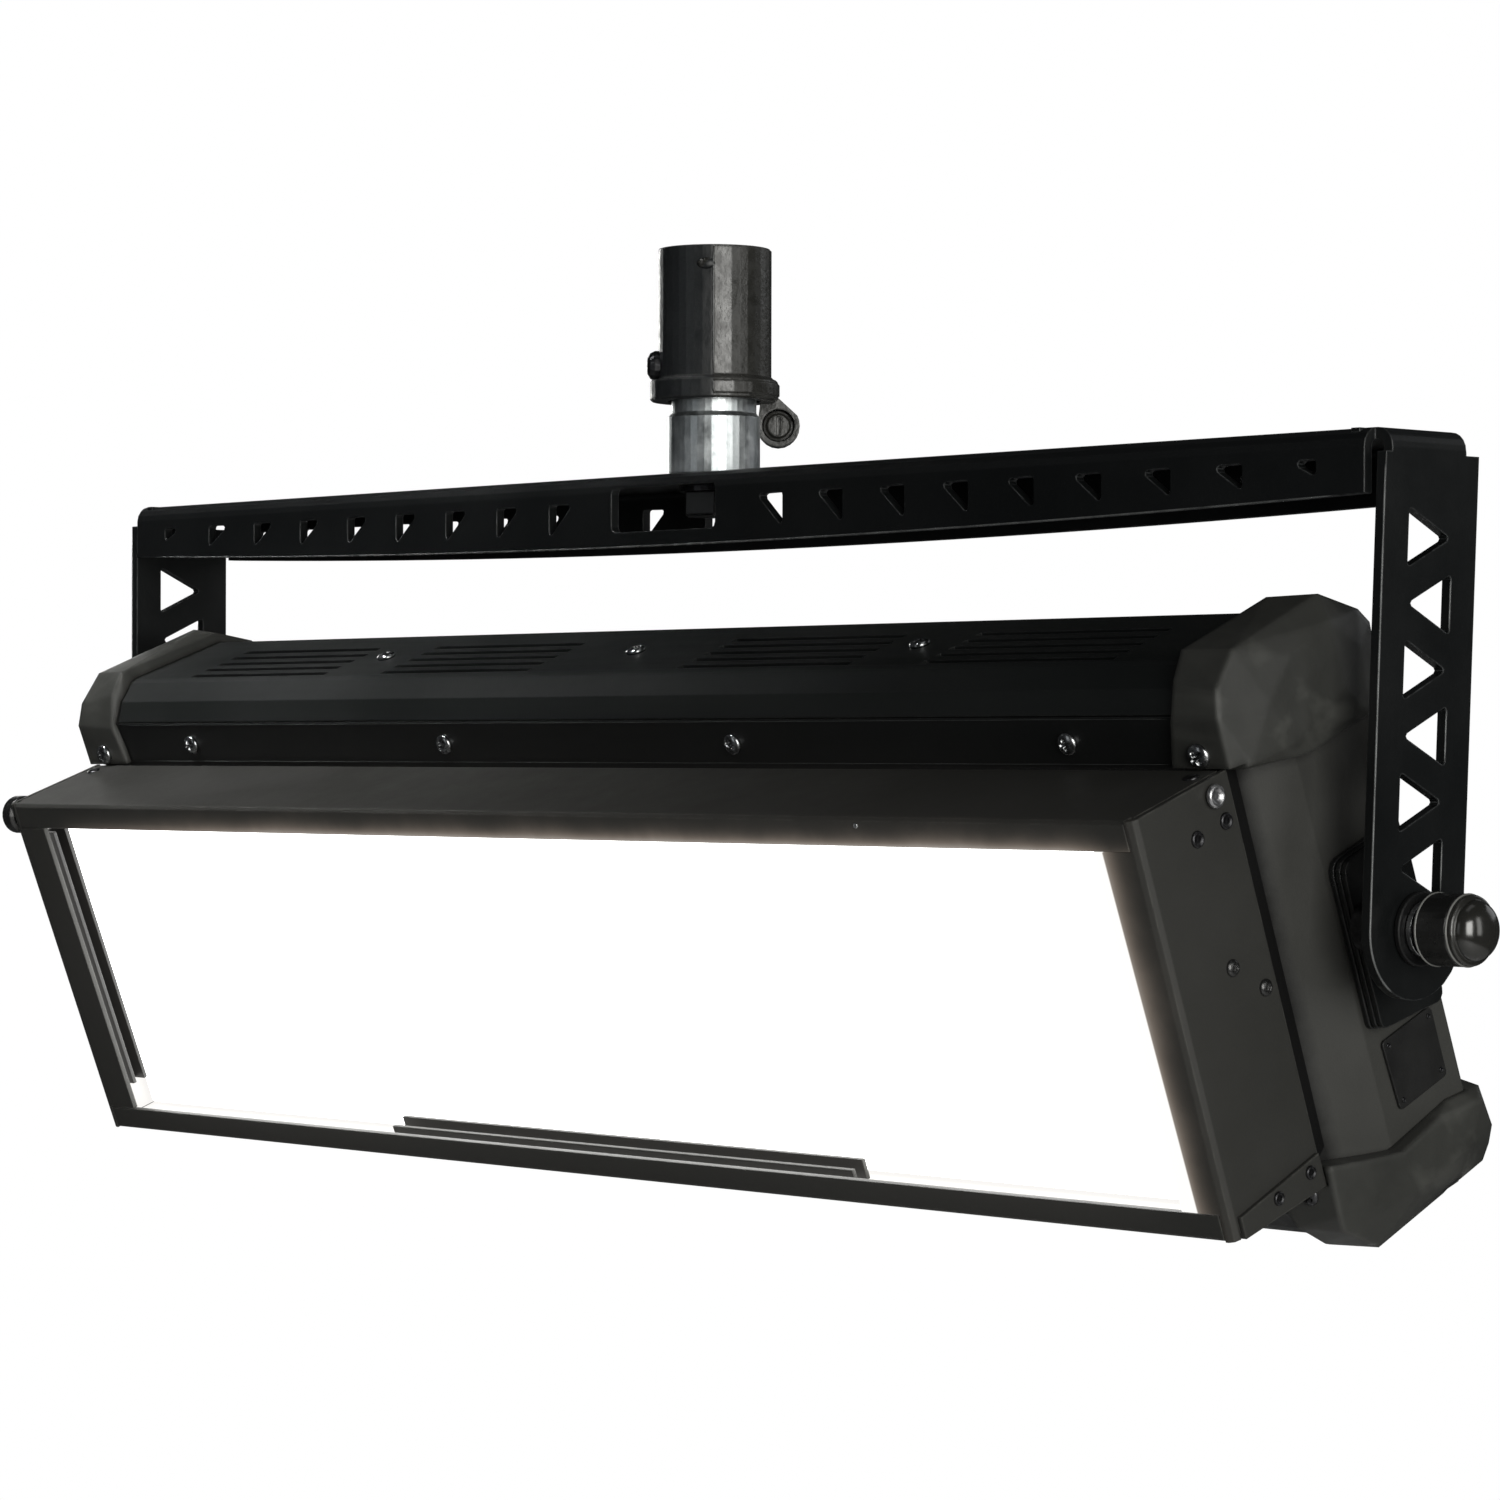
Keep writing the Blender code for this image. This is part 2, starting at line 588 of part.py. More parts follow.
def make_bumper(side, level):
    """Moulded corner guard: a faceted hull with the body's own shape taken out."""
    if level == "upper":
        pts = [(234.0, 33.5, 57.0), (234.6, 33.5, 60.0), (237.0, 33.3, 69.5), (237.5, 29.0, 79.5), (237.0, 22.9, 85.6),
               (239.0, -11.0, 88.2), (250.0, -18.6, 86.2), (236.5, -18.0, 85.0), (236.0, -30.5, 77.8), (236.0, -33.8, 72.0),
               (236.0, -33.6, 50.2),
               (254.2, 34.2, 56.0), (254.4, 34.2, 70.8), (253.4, 31.0, 77.5), (253.0, 21.2, 84.8), (256.6, 28.0, 56.0),
               (257.2, 17.0, 69.0), (257.6, 12.5, 56.0), (256.4, 4.0, 77.0), (257.4, -12.0, 62.0), (255.6, -14.0, 80.0),
               (253.4, -28.6, 78.4), (252.8, -32.6, 73.4), (251.0, -33.2, 51.0), (255.4, 5.0, 50.4), (236.0, 5.0, 50.4),
               (255.0, -22.0, 51.5), (255.4, -24.0, 70.0)]
        low = 50.2
    else:
        pts = [(234.0, 33.8, 53.0), (235.4, 33.9, 68.4), (237.5, 33.8, 72.6), (240.0, 27.6, 80.0), (237.0, 22.9, 82.6), (250.0, 18.6, 84.3),
               (236.5, -10.0, 86.2), (250.0, -29.5, 80.4), (236.5, -28.0, 80.4), (250.0, -33.6, 77.0),
               (236.0, -33.6, 75.0), (236.0, -33.8, 56.0), (251.0, -33.8, 60.0),
               (254.3, 34.0, 53.0), (253.5, 33.9, 68.6), (252.4, 32.6, 73.4), (250.6, 24.0, 79.8),
               (255.2, 22.0, 57.0), (255.6, 6.0, 60.0), (255.4, 4.0, 74.0), (255.0, -20.0, 72.0), (254.8, -30.0, 62.0),
               (252.6, -33.6, 71.5)]
        low = 55.0
    bm = hull([(x, -f, u) for x, f, u in pts])
    core = prism(body_outline(GAP + 0.1), 225.0, END_X + GAP, along_x)
    core = cut(core, chamfer_tool(GAP))
    bm = cut(bm, core)
    if level == "upper":
        # the lower edge runs level in front, then drops behind the slanted strip
        under = prism([(60.0, 57.0), (29.4, 57.0), (29.0, 53.6), (6.0, 50.0), (-22.0, 49.4), (-60.0, 52.4), (-60.0, 0.0), (60.0, 0.0)],
                      225.0, 262.0, along_x)
    else:
        # the upper edge falls back from the front and leaves room for the rear corner of the hood
        under = prism([(60.0, 46.4), (33.8, 53.9), (12.9, 59.9), (6.3, 61.5), (-25.5, 57.6), (-60.0, 50.0), (-60.0, 0.0), (60.0, 0.0)],
                      225.0, 262.0, along_x)
        bm = cut(bm, head_box(225.0, 252.3, 32.9, 60.0, 40.0, 59.7))
    bm = cut(bm, under)
    if level == "lower":
        bm = mirrored_z(bm)
    if side == "left":
        bm = mirrored_x(bm)
    node(f"bumper_{level}_{side}", bm, "bumper_plastic", HEAD, smooth=8.0)


def make_pivot(side):
    sign = 1 if side == "right" else -1

    def put(bm):
        return mirrored_x(bm) if sign < 0 else bm

    def plate(inset, a, b):
        i = inset
        return prism(rounded([(3.4 - i, -28.4 + i), (3.4 - i, 19.0 - i), (-24.0 + i, 20.6 - i), (-24.0 + i, -30.6 + i)], [2, 4, 3, 3], 3), a, b, along_x)

    bm = add(plate(0.0, END_X + GAP, END_X + 1.8), plate(0.9, END_X + 1.5, END_X + 2.6),
             plate(0.2, END_X + 2.4, END_X + 3.8), plate(1.0, END_X + 3.6, END_X + 4.4), plate(0.4, END_X + 4.2, END_X + 5.6))
    node(f"pivot_bracket_{side}", put(bm), "black_paint", HEAD)
    inner = BEAM - SHEET - ((LEAN * (LEG_W * 0.6 - PIVOT_Z)) if sign > 0 else 0.0) - GAP
    boss = turned([(0, END_X + 6.0), (6.8, END_X + 6.0), (6.8, inner - 0.5), (6.3, inner), (4.3, inner), (4.3, 257.2), (0, 257.2)], 28,
                  tilt=Matrix.Rotation(math.radians(90), 4, "Y"))
    node(f"pivot_boss_{side}", put(boss), "dark_steel", HEAD)


def make_label_plate():
    bm = prism(rounded([(-0.5, -33.5), (-22.5, -32.0), (-22.5, -52.0), (-1.5, -53.5)], 1.2, 2), END_X + GAP, END_X + 1.0, along_x)
    node("side_plate_right", bm, "black_plastic", HEAD)


def make_inside():
    board = head_box(-232.0, 232.0, BAND_F + GAP, BAND_F + 1.9, -45.0, 45.0)
    chips = []
    for row in range(3):
        for k in range(12):
            x, u = -214.5 + 39.0 * k, -28.0 + 28.0 * row
            chips.append(head_box(x - 2.5, x + 2.5, BAND_F + 1.5, BAND_F + 2.7, u - 2.5, u + 2.5))
    board = boolean(board, joined(chips), "UNION")
    node("led_board", board, "white_board", HEAD)
    sink = head_box(-225.0, 225.0, 25.0, BAND_F - WALL - GAP, -60.0, 60.0)
    fins = [head_box(-225.0, 225.0, 14.0, 25.6, -56.0 + 16.0 * k, -53.6 + 16.0 * k) for k in range(8)]
    sink = boolean(sink, joined(fins), "UNION")
    node("heat_sink", sink, "aluminium", HEAD)
    driver = bevelled(head_box(-210.0, -20.0, -18.0, 12.0, 10.0, 46.0), 1.0)
    node("led_driver", driver, "aluminium", HEAD)


def make_rear_panel():
    f0, f1 = REAR_F - GAP, REAR_F - 1.7
    plate = prism(rounded([(-104.0, -49.0), (104.0, -49.0), (104.0, 7.0), (-104.0, 7.0)], 2.0, 2), -f0, -f1,
                  lambda p, q, t: (p, t, q))
    tools = [head_box(-22.0, 22.0, -20, -40, -16.0, 0.0)]
    for k in range(3):
        tools.append(prism([(-16.0 + 16.0 * k + 4.3 * math.cos(math.radians(a)), -30.0 + 4.3 * math.sin(math.radians(a))) for a in range(0, 360, 20)],
                           20.0, 40.0, along_y))
    tools.append(head_box(50.0, 80.0, -20, -40, -36.0, -12.0))
    for x in (-80.0, -50.0):
        tools.append(prism([(x + 11.2 * math.cos(math.radians(a)), -22.0 + 11.2 * math.sin(math.radians(a))) for a in range(0, 360, 15)],
                           20.0, 40.0, along_y))
    plate = cut(plate, *tools)
    node("control_panel", plate, "black_plastic", HEAD)
    window = head_box(-21.7, 21.7, REAR_F + 1.6, f1 + 0.5, -15.7, -0.3)
    node("display_window", window, "display", HEAD)
    for k, label in enumerate(("down", "up", "enter")):
        x = -16.0 + 16.0 * k
        key = turned([(0, 0), (4.0, 0), (4.0, 7.2), (3.5, 7.8), (0, 7.8)], 20, tilt=Matrix.Rotation(math.radians(-90), 4, "X"))
        bm = moved(key, x, -REAR_F - 4.6, -30.0)
        node(f"button_{label}", bm, "rubber", HEAD, pivot=(x, -REAR_F + 3.2, -30.0))
    inlet = head_box(50.3, 79.7, -13.0, f1 - 1.2, -35.7, -12.3)
    inlet = cut(inlet, head_box(53.0, 77.0, -15.0, REAR_F - 8.0, -33.0, -15.0))
    inlet = add(inlet, *[head_box(x - 1.0, x + 1.0, -14.0, -26.6, u - 2.0, u + 2.0)
                         for x, u in ((58.0, -26.0), (72.0, -26.0), (65.0, -19.4))])
    node("power_inlet", inlet, "black_plastic", HEAD)
    for x, name, hole in ((-80.0, "data_input", 8.4), (-50.0, "data_output", 8.4)):
        ring = turned([(0, 16.0), (10.9, 16.0), (10.9, -f1 + 0.9), (hole, -f1 + 0.9), (hole, 18.0), (0, 18.0)], 28,
                      tilt=Matrix.Rotation(math.radians(-90), 4, "X"))
        node(name, moved(ring, x, 0, -22.0), "dark_steel", HEAD)


def leaning(bm):
    """Lets the hood's sides come together a little towards the bottom."""
    for v in bm.verts:
        v.co.x -= HOOD_LEAN * (HOOD_TOP - v.co.z)
    return bm


def make_hood():
    t = HOOD_T
    low = HOOD_BOTTOM
    front = HOOD_FRONT
    for side, sign in (("right", 1), ("left", -1)):
        pts = [(HOOD_X, HOOD_BACK), (HOOD_X, front - 2.2), (HOOD_X - 0.6, front - 0.7), (HOOD_X - 2.1, front),
               (HOOD_X - SIDE_LIP, front), (HOOD_X - SIDE_LIP, front - t), (HOOD_X - 2.4, front - t), (HOOD_X - t, front - 2.5),
               (HOOD_X - t, HOOD_BACK)]
        bm = prism(pts, low, HOOD_TOP, along_u)
        # room for the front lips of the flap and the bottom member, and for the tabs below
        bm = cut(bm, head_box(HOOD_X - 30.0, HOOD_X - 3.1, front - 6.0, front + 5.0, HOOD_TOP - LIP - GAP, HOOD_TOP + 5.0),
                 head_box(HOOD_X - 30.0, HOOD_X - 3.1, front - 6.0, front + 5.0, low - 5.0, low + LIP_LOW + GAP),
                 head_box(HOOD_X - 30.0, HOOD_X + 5.0, HOOD_BACK - 5.0, front - 2.6, low - 5.0, low + t + GAP),
                 moved(disc(2.5, HOOD_X - 8.0, HOOD_X + 8.0, 16), 0, -HINGE_F, HINGE_U))
        if sign < 0:
            bm = cut(bm, moved(disc(3.0, HOOD_X - 8.0, HOOD_X + 8.0, 16), 0, -LATCH_F, LATCH_U))
        bm = leaning(bm)
        node(f"hood_side_{side}", mirrored_x(bm) if sign < 0 else bm, "hood_paint", HEAD)

        x1 = HOOD_X - t - GAP
        rail = prism([(x1, HOOD_BACK + 3), (x1, RAIL_2 + 0.6), (HOOD_X - 9.6, RAIL_2 + 0.6), (HOOD_X - 9.6, RAIL_2 - 0.6),
                      (HOOD_X - 3.3, RAIL_2 - 0.6), (HOOD_X - 3.3, RAIL_1 + 0.6), (HOOD_X - 9.6, RAIL_1 + 0.6),
                      (HOOD_X - 9.6, RAIL_1 - 0.6), (HOOD_X - 3.3, RAIL_1 - 0.6), (HOOD_X - 3.3, HOOD_BACK + 3)], -46.0, 44.0, along_u)
        rail = leaning(rail)
        node(f"accessory_rail_{side}", mirrored_x(rail) if sign < 0 else rail, "hood_paint", HEAD)

        pin = turned([(0, 243.6), (2.0, 243.6), (2.0, HOOD_X + 0.5), (3.3, HOOD_X + 0.5), (3.3, HOOD_X + 1.0), (2.5, HOOD_X + 1.9), (0, HOOD_X + 2.1)], 18,
                     tilt=Matrix.Rotation(math.radians(90), 4, "Y"))
        pin = moved(pin, 0, -HINGE_F, HINGE_U)
        node(f"hinge_pin_{side}", mirrored_x(pin) if sign < 0 else pin, "bright_steel", HEAD)

    # bottom member with its front lip, the two accessory upstands and end tabs
    half = HOOD_X - HOOD_LEAN * (HOOD_TOP - low)
    pts = [(HOOD_BACK, low), (front - 0.9, low), (front, low + 0.9), (front, low + LIP_LOW), (front - t, low + LIP_LOW),
           (front - t, low + t), (HOOD_BACK, low + t)]
    bm = prism(pts, -(half - 3.4), half - 3.4, along_x)
    foot = head_box(-(half + GAP + 1.2), half + GAP + 1.2, HOOD_BACK + 1.0, front - 3.0, low, low + t)
    ends = [prism([(HOOD_BACK + 1.0, low), (HOOD_BACK + 1.0, -50.0), (front - 4.2, -53.2), (front - 3.0, -53.2), (front - 3.0, low)],
                  s * (half + GAP), s * (half + GAP + 1.2), along_x) for s in (1, -1)]
    ups = [head_box(-UPSTAND, UPSTAND, RAIL_2 - 0.6, RAIL_2 + 0.6, low + 0.5, -52.6),
           head_box(-UPSTAND, UPSTAND, RAIL_1 - 0.6, RAIL_1 + 0.6, low + 0.5, -51.4)]
    bm = add(bm, foot, *ends, *ups)
    node("hood_bottom", bm, "hood_paint", HEAD)

    # hinged flap that closes the top of the hood
    top = HOOD_TOP
    pts = [(HOOD_BACK + 1.0, top), (front - 0.9, top), (front, top - 0.9), (front, top - LIP), (front - t, top - LIP),
           (front - t, top - t), (HOOD_BACK + 1.0, top - t)]
    bm = prism(pts, -(HOOD_X - 3.4), HOOD_X - 3.4, along_x)
    ears = []
    for sign in (1, -1):
        x0, x1 = sorted((sign * (HOOD_X - t - GAP - 0.4), sign * (HOOD_X - 4.6)))
        ears.append(prism([(HOOD_BACK + 1.0, top), (HOOD_BACK + 2.4, 51.0), (38.5, 46.8), (front - 8.0, 46.8), (front - 3.4, 50.0), (front - 3.4, top)],
                          x0, x1, along_x))
    bm = add(bm, *ears)
    tools = [moved(disc(2.3, s * 240.0, s * 256.0, 16), 0, -HINGE_F, HINGE_U) for s in (1, -1)]
    bm = cut(bm, *tools)
    node("hood_top_flap", bm, "hood_paint", HEAD, pivot=(0, -HINGE_F, HINGE_U))

    knob = turned([(0, 250.8), (2.6, 250.8), (2.6, 253.2), (5.0, 253.4), (6.2, 254.2), (6.2, 258.4), (5.4, 259.6), (0, 259.8)], 28,
                  tilt=Matrix.Rotation(math.radians(90), 4, "Y"))
    knob = mirrored_x(moved(knob, 0, -LATCH_F, LATCH_U))
    node("latch_knob", knob, "black_plastic", HEAD, pivot=(-252.0, -LATCH_F, LATCH_U))

    diffuser = head_box(-246.6, 246.6, DIFF_F - 3.0, DIFF_F, -56.5, 45.6)
    node("diffuser", diffuser, "diffuser", HEAD)


def make_screws():
    """Bright cross-head screws of the body."""
    def screw(r, depth):
        bm = turned([(0, 0), (r, 0), (r, 0.5), (r * 0.75, 1.3), (0, 1.6)], 16)
        arm = r * 0.55
        return cut(bm, box(-arm, arm, -0.4, 0.4, 0.8, 3.0), box(-0.4, 0.4, -arm, arm, 0.8, 3.0))

    for k, x in enumerate((-120.5, 0.0, 120.5)):
        bm = moved(screw(3.0, 1.2), x, -2.5, TOP_U + GAP)
        node(f"top_screw_{k + 1}", bm, "bright_steel", HEAD)
    for k, x in enumerate((-197.0, -65.5, 65.5, 197.0)):
        bm = spun(screw(3.2, 1.2), Matrix.Rotation(math.radians(90), 4, "X"))
        node(f"band_screw_{k + 1}", moved(bm, x, -BAND_F - GAP, 63.0), "bright_steel", HEAD)


def build():
    start()
    make_socket()
    make_spigot()
    make_yoke()
    for side in ("right", "left"):
        make_tilt_hardware(side)
    make_front_frame()
    make_cover(1)
    make_cover(-1)
    make_rear_cover()
    for side in ("right", "left"):
        make_end_plate(side)
        make_pivot(side)
        for level in ("upper", "lower"):
            make_bumper(side, level)
    make_label_plate()
    make_inside()
    make_rear_panel()
    make_hood()
    make_screws()


build()
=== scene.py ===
import math

import bmesh
import bpy
from mathutils import Matrix, Vector, noise


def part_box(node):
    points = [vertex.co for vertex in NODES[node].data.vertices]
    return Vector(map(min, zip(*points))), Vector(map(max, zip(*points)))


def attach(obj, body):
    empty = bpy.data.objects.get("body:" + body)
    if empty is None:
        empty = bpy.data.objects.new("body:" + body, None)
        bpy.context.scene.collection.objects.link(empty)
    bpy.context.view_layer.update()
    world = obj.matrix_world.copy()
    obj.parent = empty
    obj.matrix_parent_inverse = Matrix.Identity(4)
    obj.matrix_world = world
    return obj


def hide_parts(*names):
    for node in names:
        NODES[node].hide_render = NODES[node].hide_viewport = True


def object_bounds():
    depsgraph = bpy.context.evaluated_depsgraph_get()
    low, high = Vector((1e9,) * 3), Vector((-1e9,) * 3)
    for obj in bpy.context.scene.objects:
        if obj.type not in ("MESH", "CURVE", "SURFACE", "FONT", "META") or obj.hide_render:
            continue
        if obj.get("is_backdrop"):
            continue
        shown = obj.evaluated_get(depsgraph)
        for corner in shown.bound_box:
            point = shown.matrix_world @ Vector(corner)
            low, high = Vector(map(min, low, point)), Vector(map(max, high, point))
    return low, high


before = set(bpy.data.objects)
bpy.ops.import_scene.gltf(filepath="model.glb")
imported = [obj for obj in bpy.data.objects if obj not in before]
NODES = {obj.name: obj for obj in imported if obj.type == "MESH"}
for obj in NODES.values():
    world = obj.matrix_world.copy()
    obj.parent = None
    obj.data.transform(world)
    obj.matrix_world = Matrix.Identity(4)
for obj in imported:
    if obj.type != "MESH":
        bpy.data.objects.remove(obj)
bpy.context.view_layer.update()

MM = 0.001
TILT = math.radians(20.6)
HEAD = Matrix.Translation((0.0, 0.0, -0.1978)) @ Matrix.Rotation(TILT, 4, "X")
scene = bpy.context.scene


# ------------------------------------------------------------------ materials

class Look:
    """A node material with a few short ways to add to it."""

    def __init__(self, name):
        self.mat = bpy.data.materials.new(name)
        self.mat.use_nodes = True
        self.tree = self.mat.node_tree
        self.tree.nodes.clear()
        self.out = self.new("OutputMaterial")
        self.bsdf = self.new("BsdfPrincipled")
        self.link(self.bsdf.outputs["BSDF"], self.out.inputs["Surface"])
        self.coord = self.new("TexCoord").outputs["Object"]
        self.normal = None

    def new(self, kind, **values):
        n = self.tree.nodes.new("ShaderNode" + kind)
        for k, v in values.items():
            setattr(n, k, v)
        return n

    def link(self, a, b):
        self.tree.links.new(a, b)

    def set(self, **values):
        for k, v in values.items():
            self.bsdf.inputs[k.replace("_", " ")].default_value = v
        return self

    def place(self, scale=(1, 1, 1), turn=(0, 0, 0)):
        m = self.new("Mapping")
        m.inputs["Scale"].default_value = scale
        m.inputs["Rotation"].default_value = turn
        self.link(self.coord, m.inputs["Vector"])
        return m.outputs["Vector"]

    def noise(self, scale, detail=3.0, rough=0.55, at=None, distort=0.0):
        n = self.new("TexNoise")
        n.inputs["Scale"].default_value = scale
        n.inputs["Detail"].default_value = detail
        n.inputs["Roughness"].default_value = rough
        n.inputs["Distortion"].default_value = distort
        self.link(at or self.coord, n.inputs["Vector"])
        return n.outputs["Fac"]

    def spread(self, value, a, b, lo=0.3, hi=0.7):
        """Maps a value from lo..hi to a..b."""
        r = self.new("MapRange")
        for i, v in enumerate((lo, hi, a, b)):
            r.inputs[i + 1].default_value = v
        self.link(value, r.inputs[0])
        return r.outputs[0]

    def math(self, op, a, b=None):
        n = self.new("Math", operation=op)
        for i, v in enumerate((a, b)):
            if v is None:
                continue
            if isinstance(v, (int, float)):
                n.inputs[i].default_value = v
            else:
                self.link(v, n.inputs[i])
        return n.outputs[0]

    def ramp(self, value, *stops):
        r = self.new("ValToRGB")
        e = r.color_ramp.elements
        while len(e) < len(stops):
            e.new(0.5)
        for i, (p, c) in enumerate(stops):
            e[i].position = p
            e[i].color = (*c, 1.0)
        self.link(value, r.inputs["Fac"])
        return r.outputs["Color"]

    def mix(self, fac, a, b):
        m = self.new("Mix", data_type="RGBA")
        self.link(fac, m.inputs[0])
        for i, v in ((6, a), (7, b)):
            if isinstance(v, tuple):
                m.inputs[i].default_value = (*v, 1.0)
            else:
                self.link(v, m.inputs[i])
        return m.outputs[2]

    def edges(self, radius, samples=4):
        """Rounds the edges in shading, and gives a mask that is 1 on them."""
        b = self.new("Bevel", samples=samples)
        b.inputs["Radius"].default_value = radius
        self.normal = b.outputs["Normal"]
        g = self.new("NewGeometry")
        d = self.new("VectorMath", operation="DOT_PRODUCT")
        self.link(b.outputs["Normal"], d.inputs[0])
        self.link(g.outputs["Normal"], d.inputs[1])
        return self.spread(d.outputs["Value"], 1.0, 0.0, 0.80, 0.985)

    def bump(self, height, distance, strength=1.0):
        b = self.new("Bump")
        b.inputs["Distance"].default_value = distance
        b.inputs["Strength"].default_value = strength
        self.link(height, b.inputs["Height"])
        if self.normal is not None:
            self.link(self.normal, b.inputs["Normal"])
        self.normal = b.outputs["Normal"]

    def done(self, colour=None, rough=None, metal=None):
        for v, socket in ((colour, "Base Color"), (rough, "Roughness"), (metal, "Metallic")):
            if v is not None:
                self.link(v, self.bsdf.inputs[socket])
        if self.normal is not None:
            self.link(self.normal, self.bsdf.inputs["Normal"])
        return self.mat


def painted(name, dark, light, rough, edge_radius=0.0006, edge_colour=None, grain=1500.0, grain_depth=0.00003,
            patch=14.0, edge_rough=None, spec=0.5, smear=None):
    """Powder coat: fine orange peel, soft patches of tone, edges rubbed a little brighter. The lighter edge colour is
    also a painted highlight on the arrises.
    """
    L = Look(name)
    L.set(Specular_IOR_Level=spec)
    edge = L.edges(edge_radius)
    broad = L.noise(patch, 4.0, 0.6)
    fine = L.noise(grain, 2.0, 0.5)
    base = L.ramp(L.spread(broad, 0.0, 1.0, 0.3, 0.7), (0.0, dark), (1.0, light))
    if edge_colour:
        # Edge colour: rubbed paint, and a painted highlight on the arrises as well.
        rubbed_and_highlit = L.math("MULTIPLY", edge, L.spread(L.noise(160.0, 4.0, 0.7), 0.15, 1.0, 0.42, 0.6))
        base = L.mix(rubbed_and_highlit, base, edge_colour)
    value = L.spread(L.noise(patch * 2.3, 5.0, 0.65), rough - 0.07, rough + 0.09, 0.3, 0.7)
    if smear:
        wipe = L.noise(1.0, 4.0, 0.6, L.place(smear, (TILT, 0, 0)))
        value = L.math("ADD", value, L.spread(wipe, -0.05, 0.06, 0.35, 0.65))
    L.bump(fine, grain_depth)
    return L.done(base, value)


def metal(name, dark, light, rough, streak=(1, 1, 1), streak_scale=1.0, depth=0.00002, edge_radius=0.0004, spots=0.0):
    """Plated or bare steel: fine streaks along one way, cloudy plating, bright edges."""
    L = Look(name)
    L.set(Metallic=1.0)
    L.edges(edge_radius)
    lines = L.noise(streak_scale, 5.0, 0.65, L.place(streak))
    cloud = L.noise(170.0, 5.0, 0.7)
    both = L.math("ADD", L.math("MULTIPLY", lines, 0.55), L.math("MULTIPLY", cloud, 0.45))
    colour = L.ramp(L.spread(both, 0.0, 1.0, 0.36, 0.64), (0.0, dark), (0.55, tuple((a + b) / 2 for a, b in zip(dark, light))), (1.0, light))
    value = L.spread(cloud, rough - 0.08, rough + 0.12, 0.32, 0.68)
    if spots:
        v = L.new("TexVoronoi", feature="F1")
        v.inputs["Scale"].default_value = spots
        L.link(L.coord, v.inputs["Vector"])
        value = L.math("ADD", value, L.spread(v.outputs["Distance"], 0.12, -0.02, 0.0, 0.5))
    L.bump(both, depth)
    return L.done(colour, value)


def moulded(name, dark, light, rough, edge_radius=0.0005, soft=0.0, soft_scale=38.0, grain=900.0, grain_depth=0.00002, spec=0.5, rubbed=0.0):
    """Moulded plastic or rubber: fine spark texture, and for soft parts a slow unevenness of the surface."""
    L = Look(name)
    L.set(Specular_IOR_Level=spec)
    edge = L.edges(edge_radius)
    broad = L.noise(26.0, 4.0, 0.6)
    base = L.ramp(L.spread(broad, 0.0, 1.0, 0.3, 0.7), (0.0, dark), (1.0, light))
    base = L.mix(L.math("MULTIPLY", edge, 0.35), base, tuple(min(1.0, 1.9 * c + 0.01) for c in light))
    value = L.spread(L.noise(55.0, 4.0, 0.65), rough - 0.07, rough + 0.1, 0.3, 0.7)
    if rubbed:
        # soft pale smears where the mould and handling left the skin smoother
        smear = L.noise(1.0, 3.0, 0.5, L.place((16.0, 44.0, 70.0), (math.radians(38), 0, math.radians(-25))), 0.6)
        base = L.mix(L.spread(smear, 0.0, rubbed, 0.50, 0.66), base, tuple(min(1.0, 2.0 * c) for c in light))
    if soft:
        L.bump(L.noise(soft_scale, 2.0, 0.45, distort=0.4), soft)
    L.bump(L.noise(grain, 2.0, 0.5), grain_depth)
    return L.done(base, value)


# The yoke's light edge colour is partly rubbed paint and partly a painted highlight on its arrises.
YOKE = painted("yoke_black", (0.0028, 0.0034, 0.0036), (0.0050, 0.0058, 0.0060), 0.36, 0.0006, (0.10, 0.105, 0.108), patch=9.0, grain=1100.0)
# Light grey for the fine rods along the yoke's arrises and the socket's seam: a painted highlight, standing in for the
# glint of those edges.
EDGE_HIGHLIGHT = painted("painted_edge_highlight", (0.055, 0.058, 0.058), (0.16, 0.165, 0.165), 0.26, 0.0002, patch=90.0, grain=1800.0, grain_depth=0.00001)


def casting():
    """Painted casting: the proud half is glossier and a little browner than the other, with a sandy grain."""
    L = Look("casting_black")
    L.set(Specular_IOR_Level=0.6)
    edge = L.edges(0.0007)
    sep = L.new("SeparateXYZ")
    L.link(L.coord, sep.inputs[0])
    across = L.math("ADD", L.math("MULTIPLY", sep.outputs[0], 0.6756), L.math("MULTIPLY", sep.outputs[1], 0.7373))
    proud = L.spread(across, 0.0, 1.0, -0.0002, 0.0003)
    cloud = L.spread(L.noise(70.0, 5.0, 0.65), 0.0, 1.0, 0.3, 0.7)
    cool = L.ramp(cloud, (0.0, (0.0060, 0.0072, 0.0080)), (1.0, (0.0120, 0.0138, 0.0150)))
    warm = L.ramp(cloud, (0.0, (0.0160, 0.0158, 0.0140)), (1.0, (0.0340, 0.0335, 0.0300)))
    base = L.mix(proud, cool, warm)
    base = L.mix(L.math("MULTIPLY", edge, L.spread(L.noise(160.0, 4.0, 0.7), 0.2, 0.9, 0.42, 0.6)), base, (0.11, 0.11, 0.105))
    sand = L.noise(620.0, 3.0, 0.6)
    value = L.math("ADD", L.spread(proud, 0.42, 0.27, 0.0, 1.0), L.spread(L.noise(230.0, 4.0, 0.7), -0.09, 0.11, 0.35, 0.65))
    L.bump(L.noise(90.0, 3.0, 0.5), 0.00016)
    L.bump(sand, 0.00010)
    return L.done(base, value)


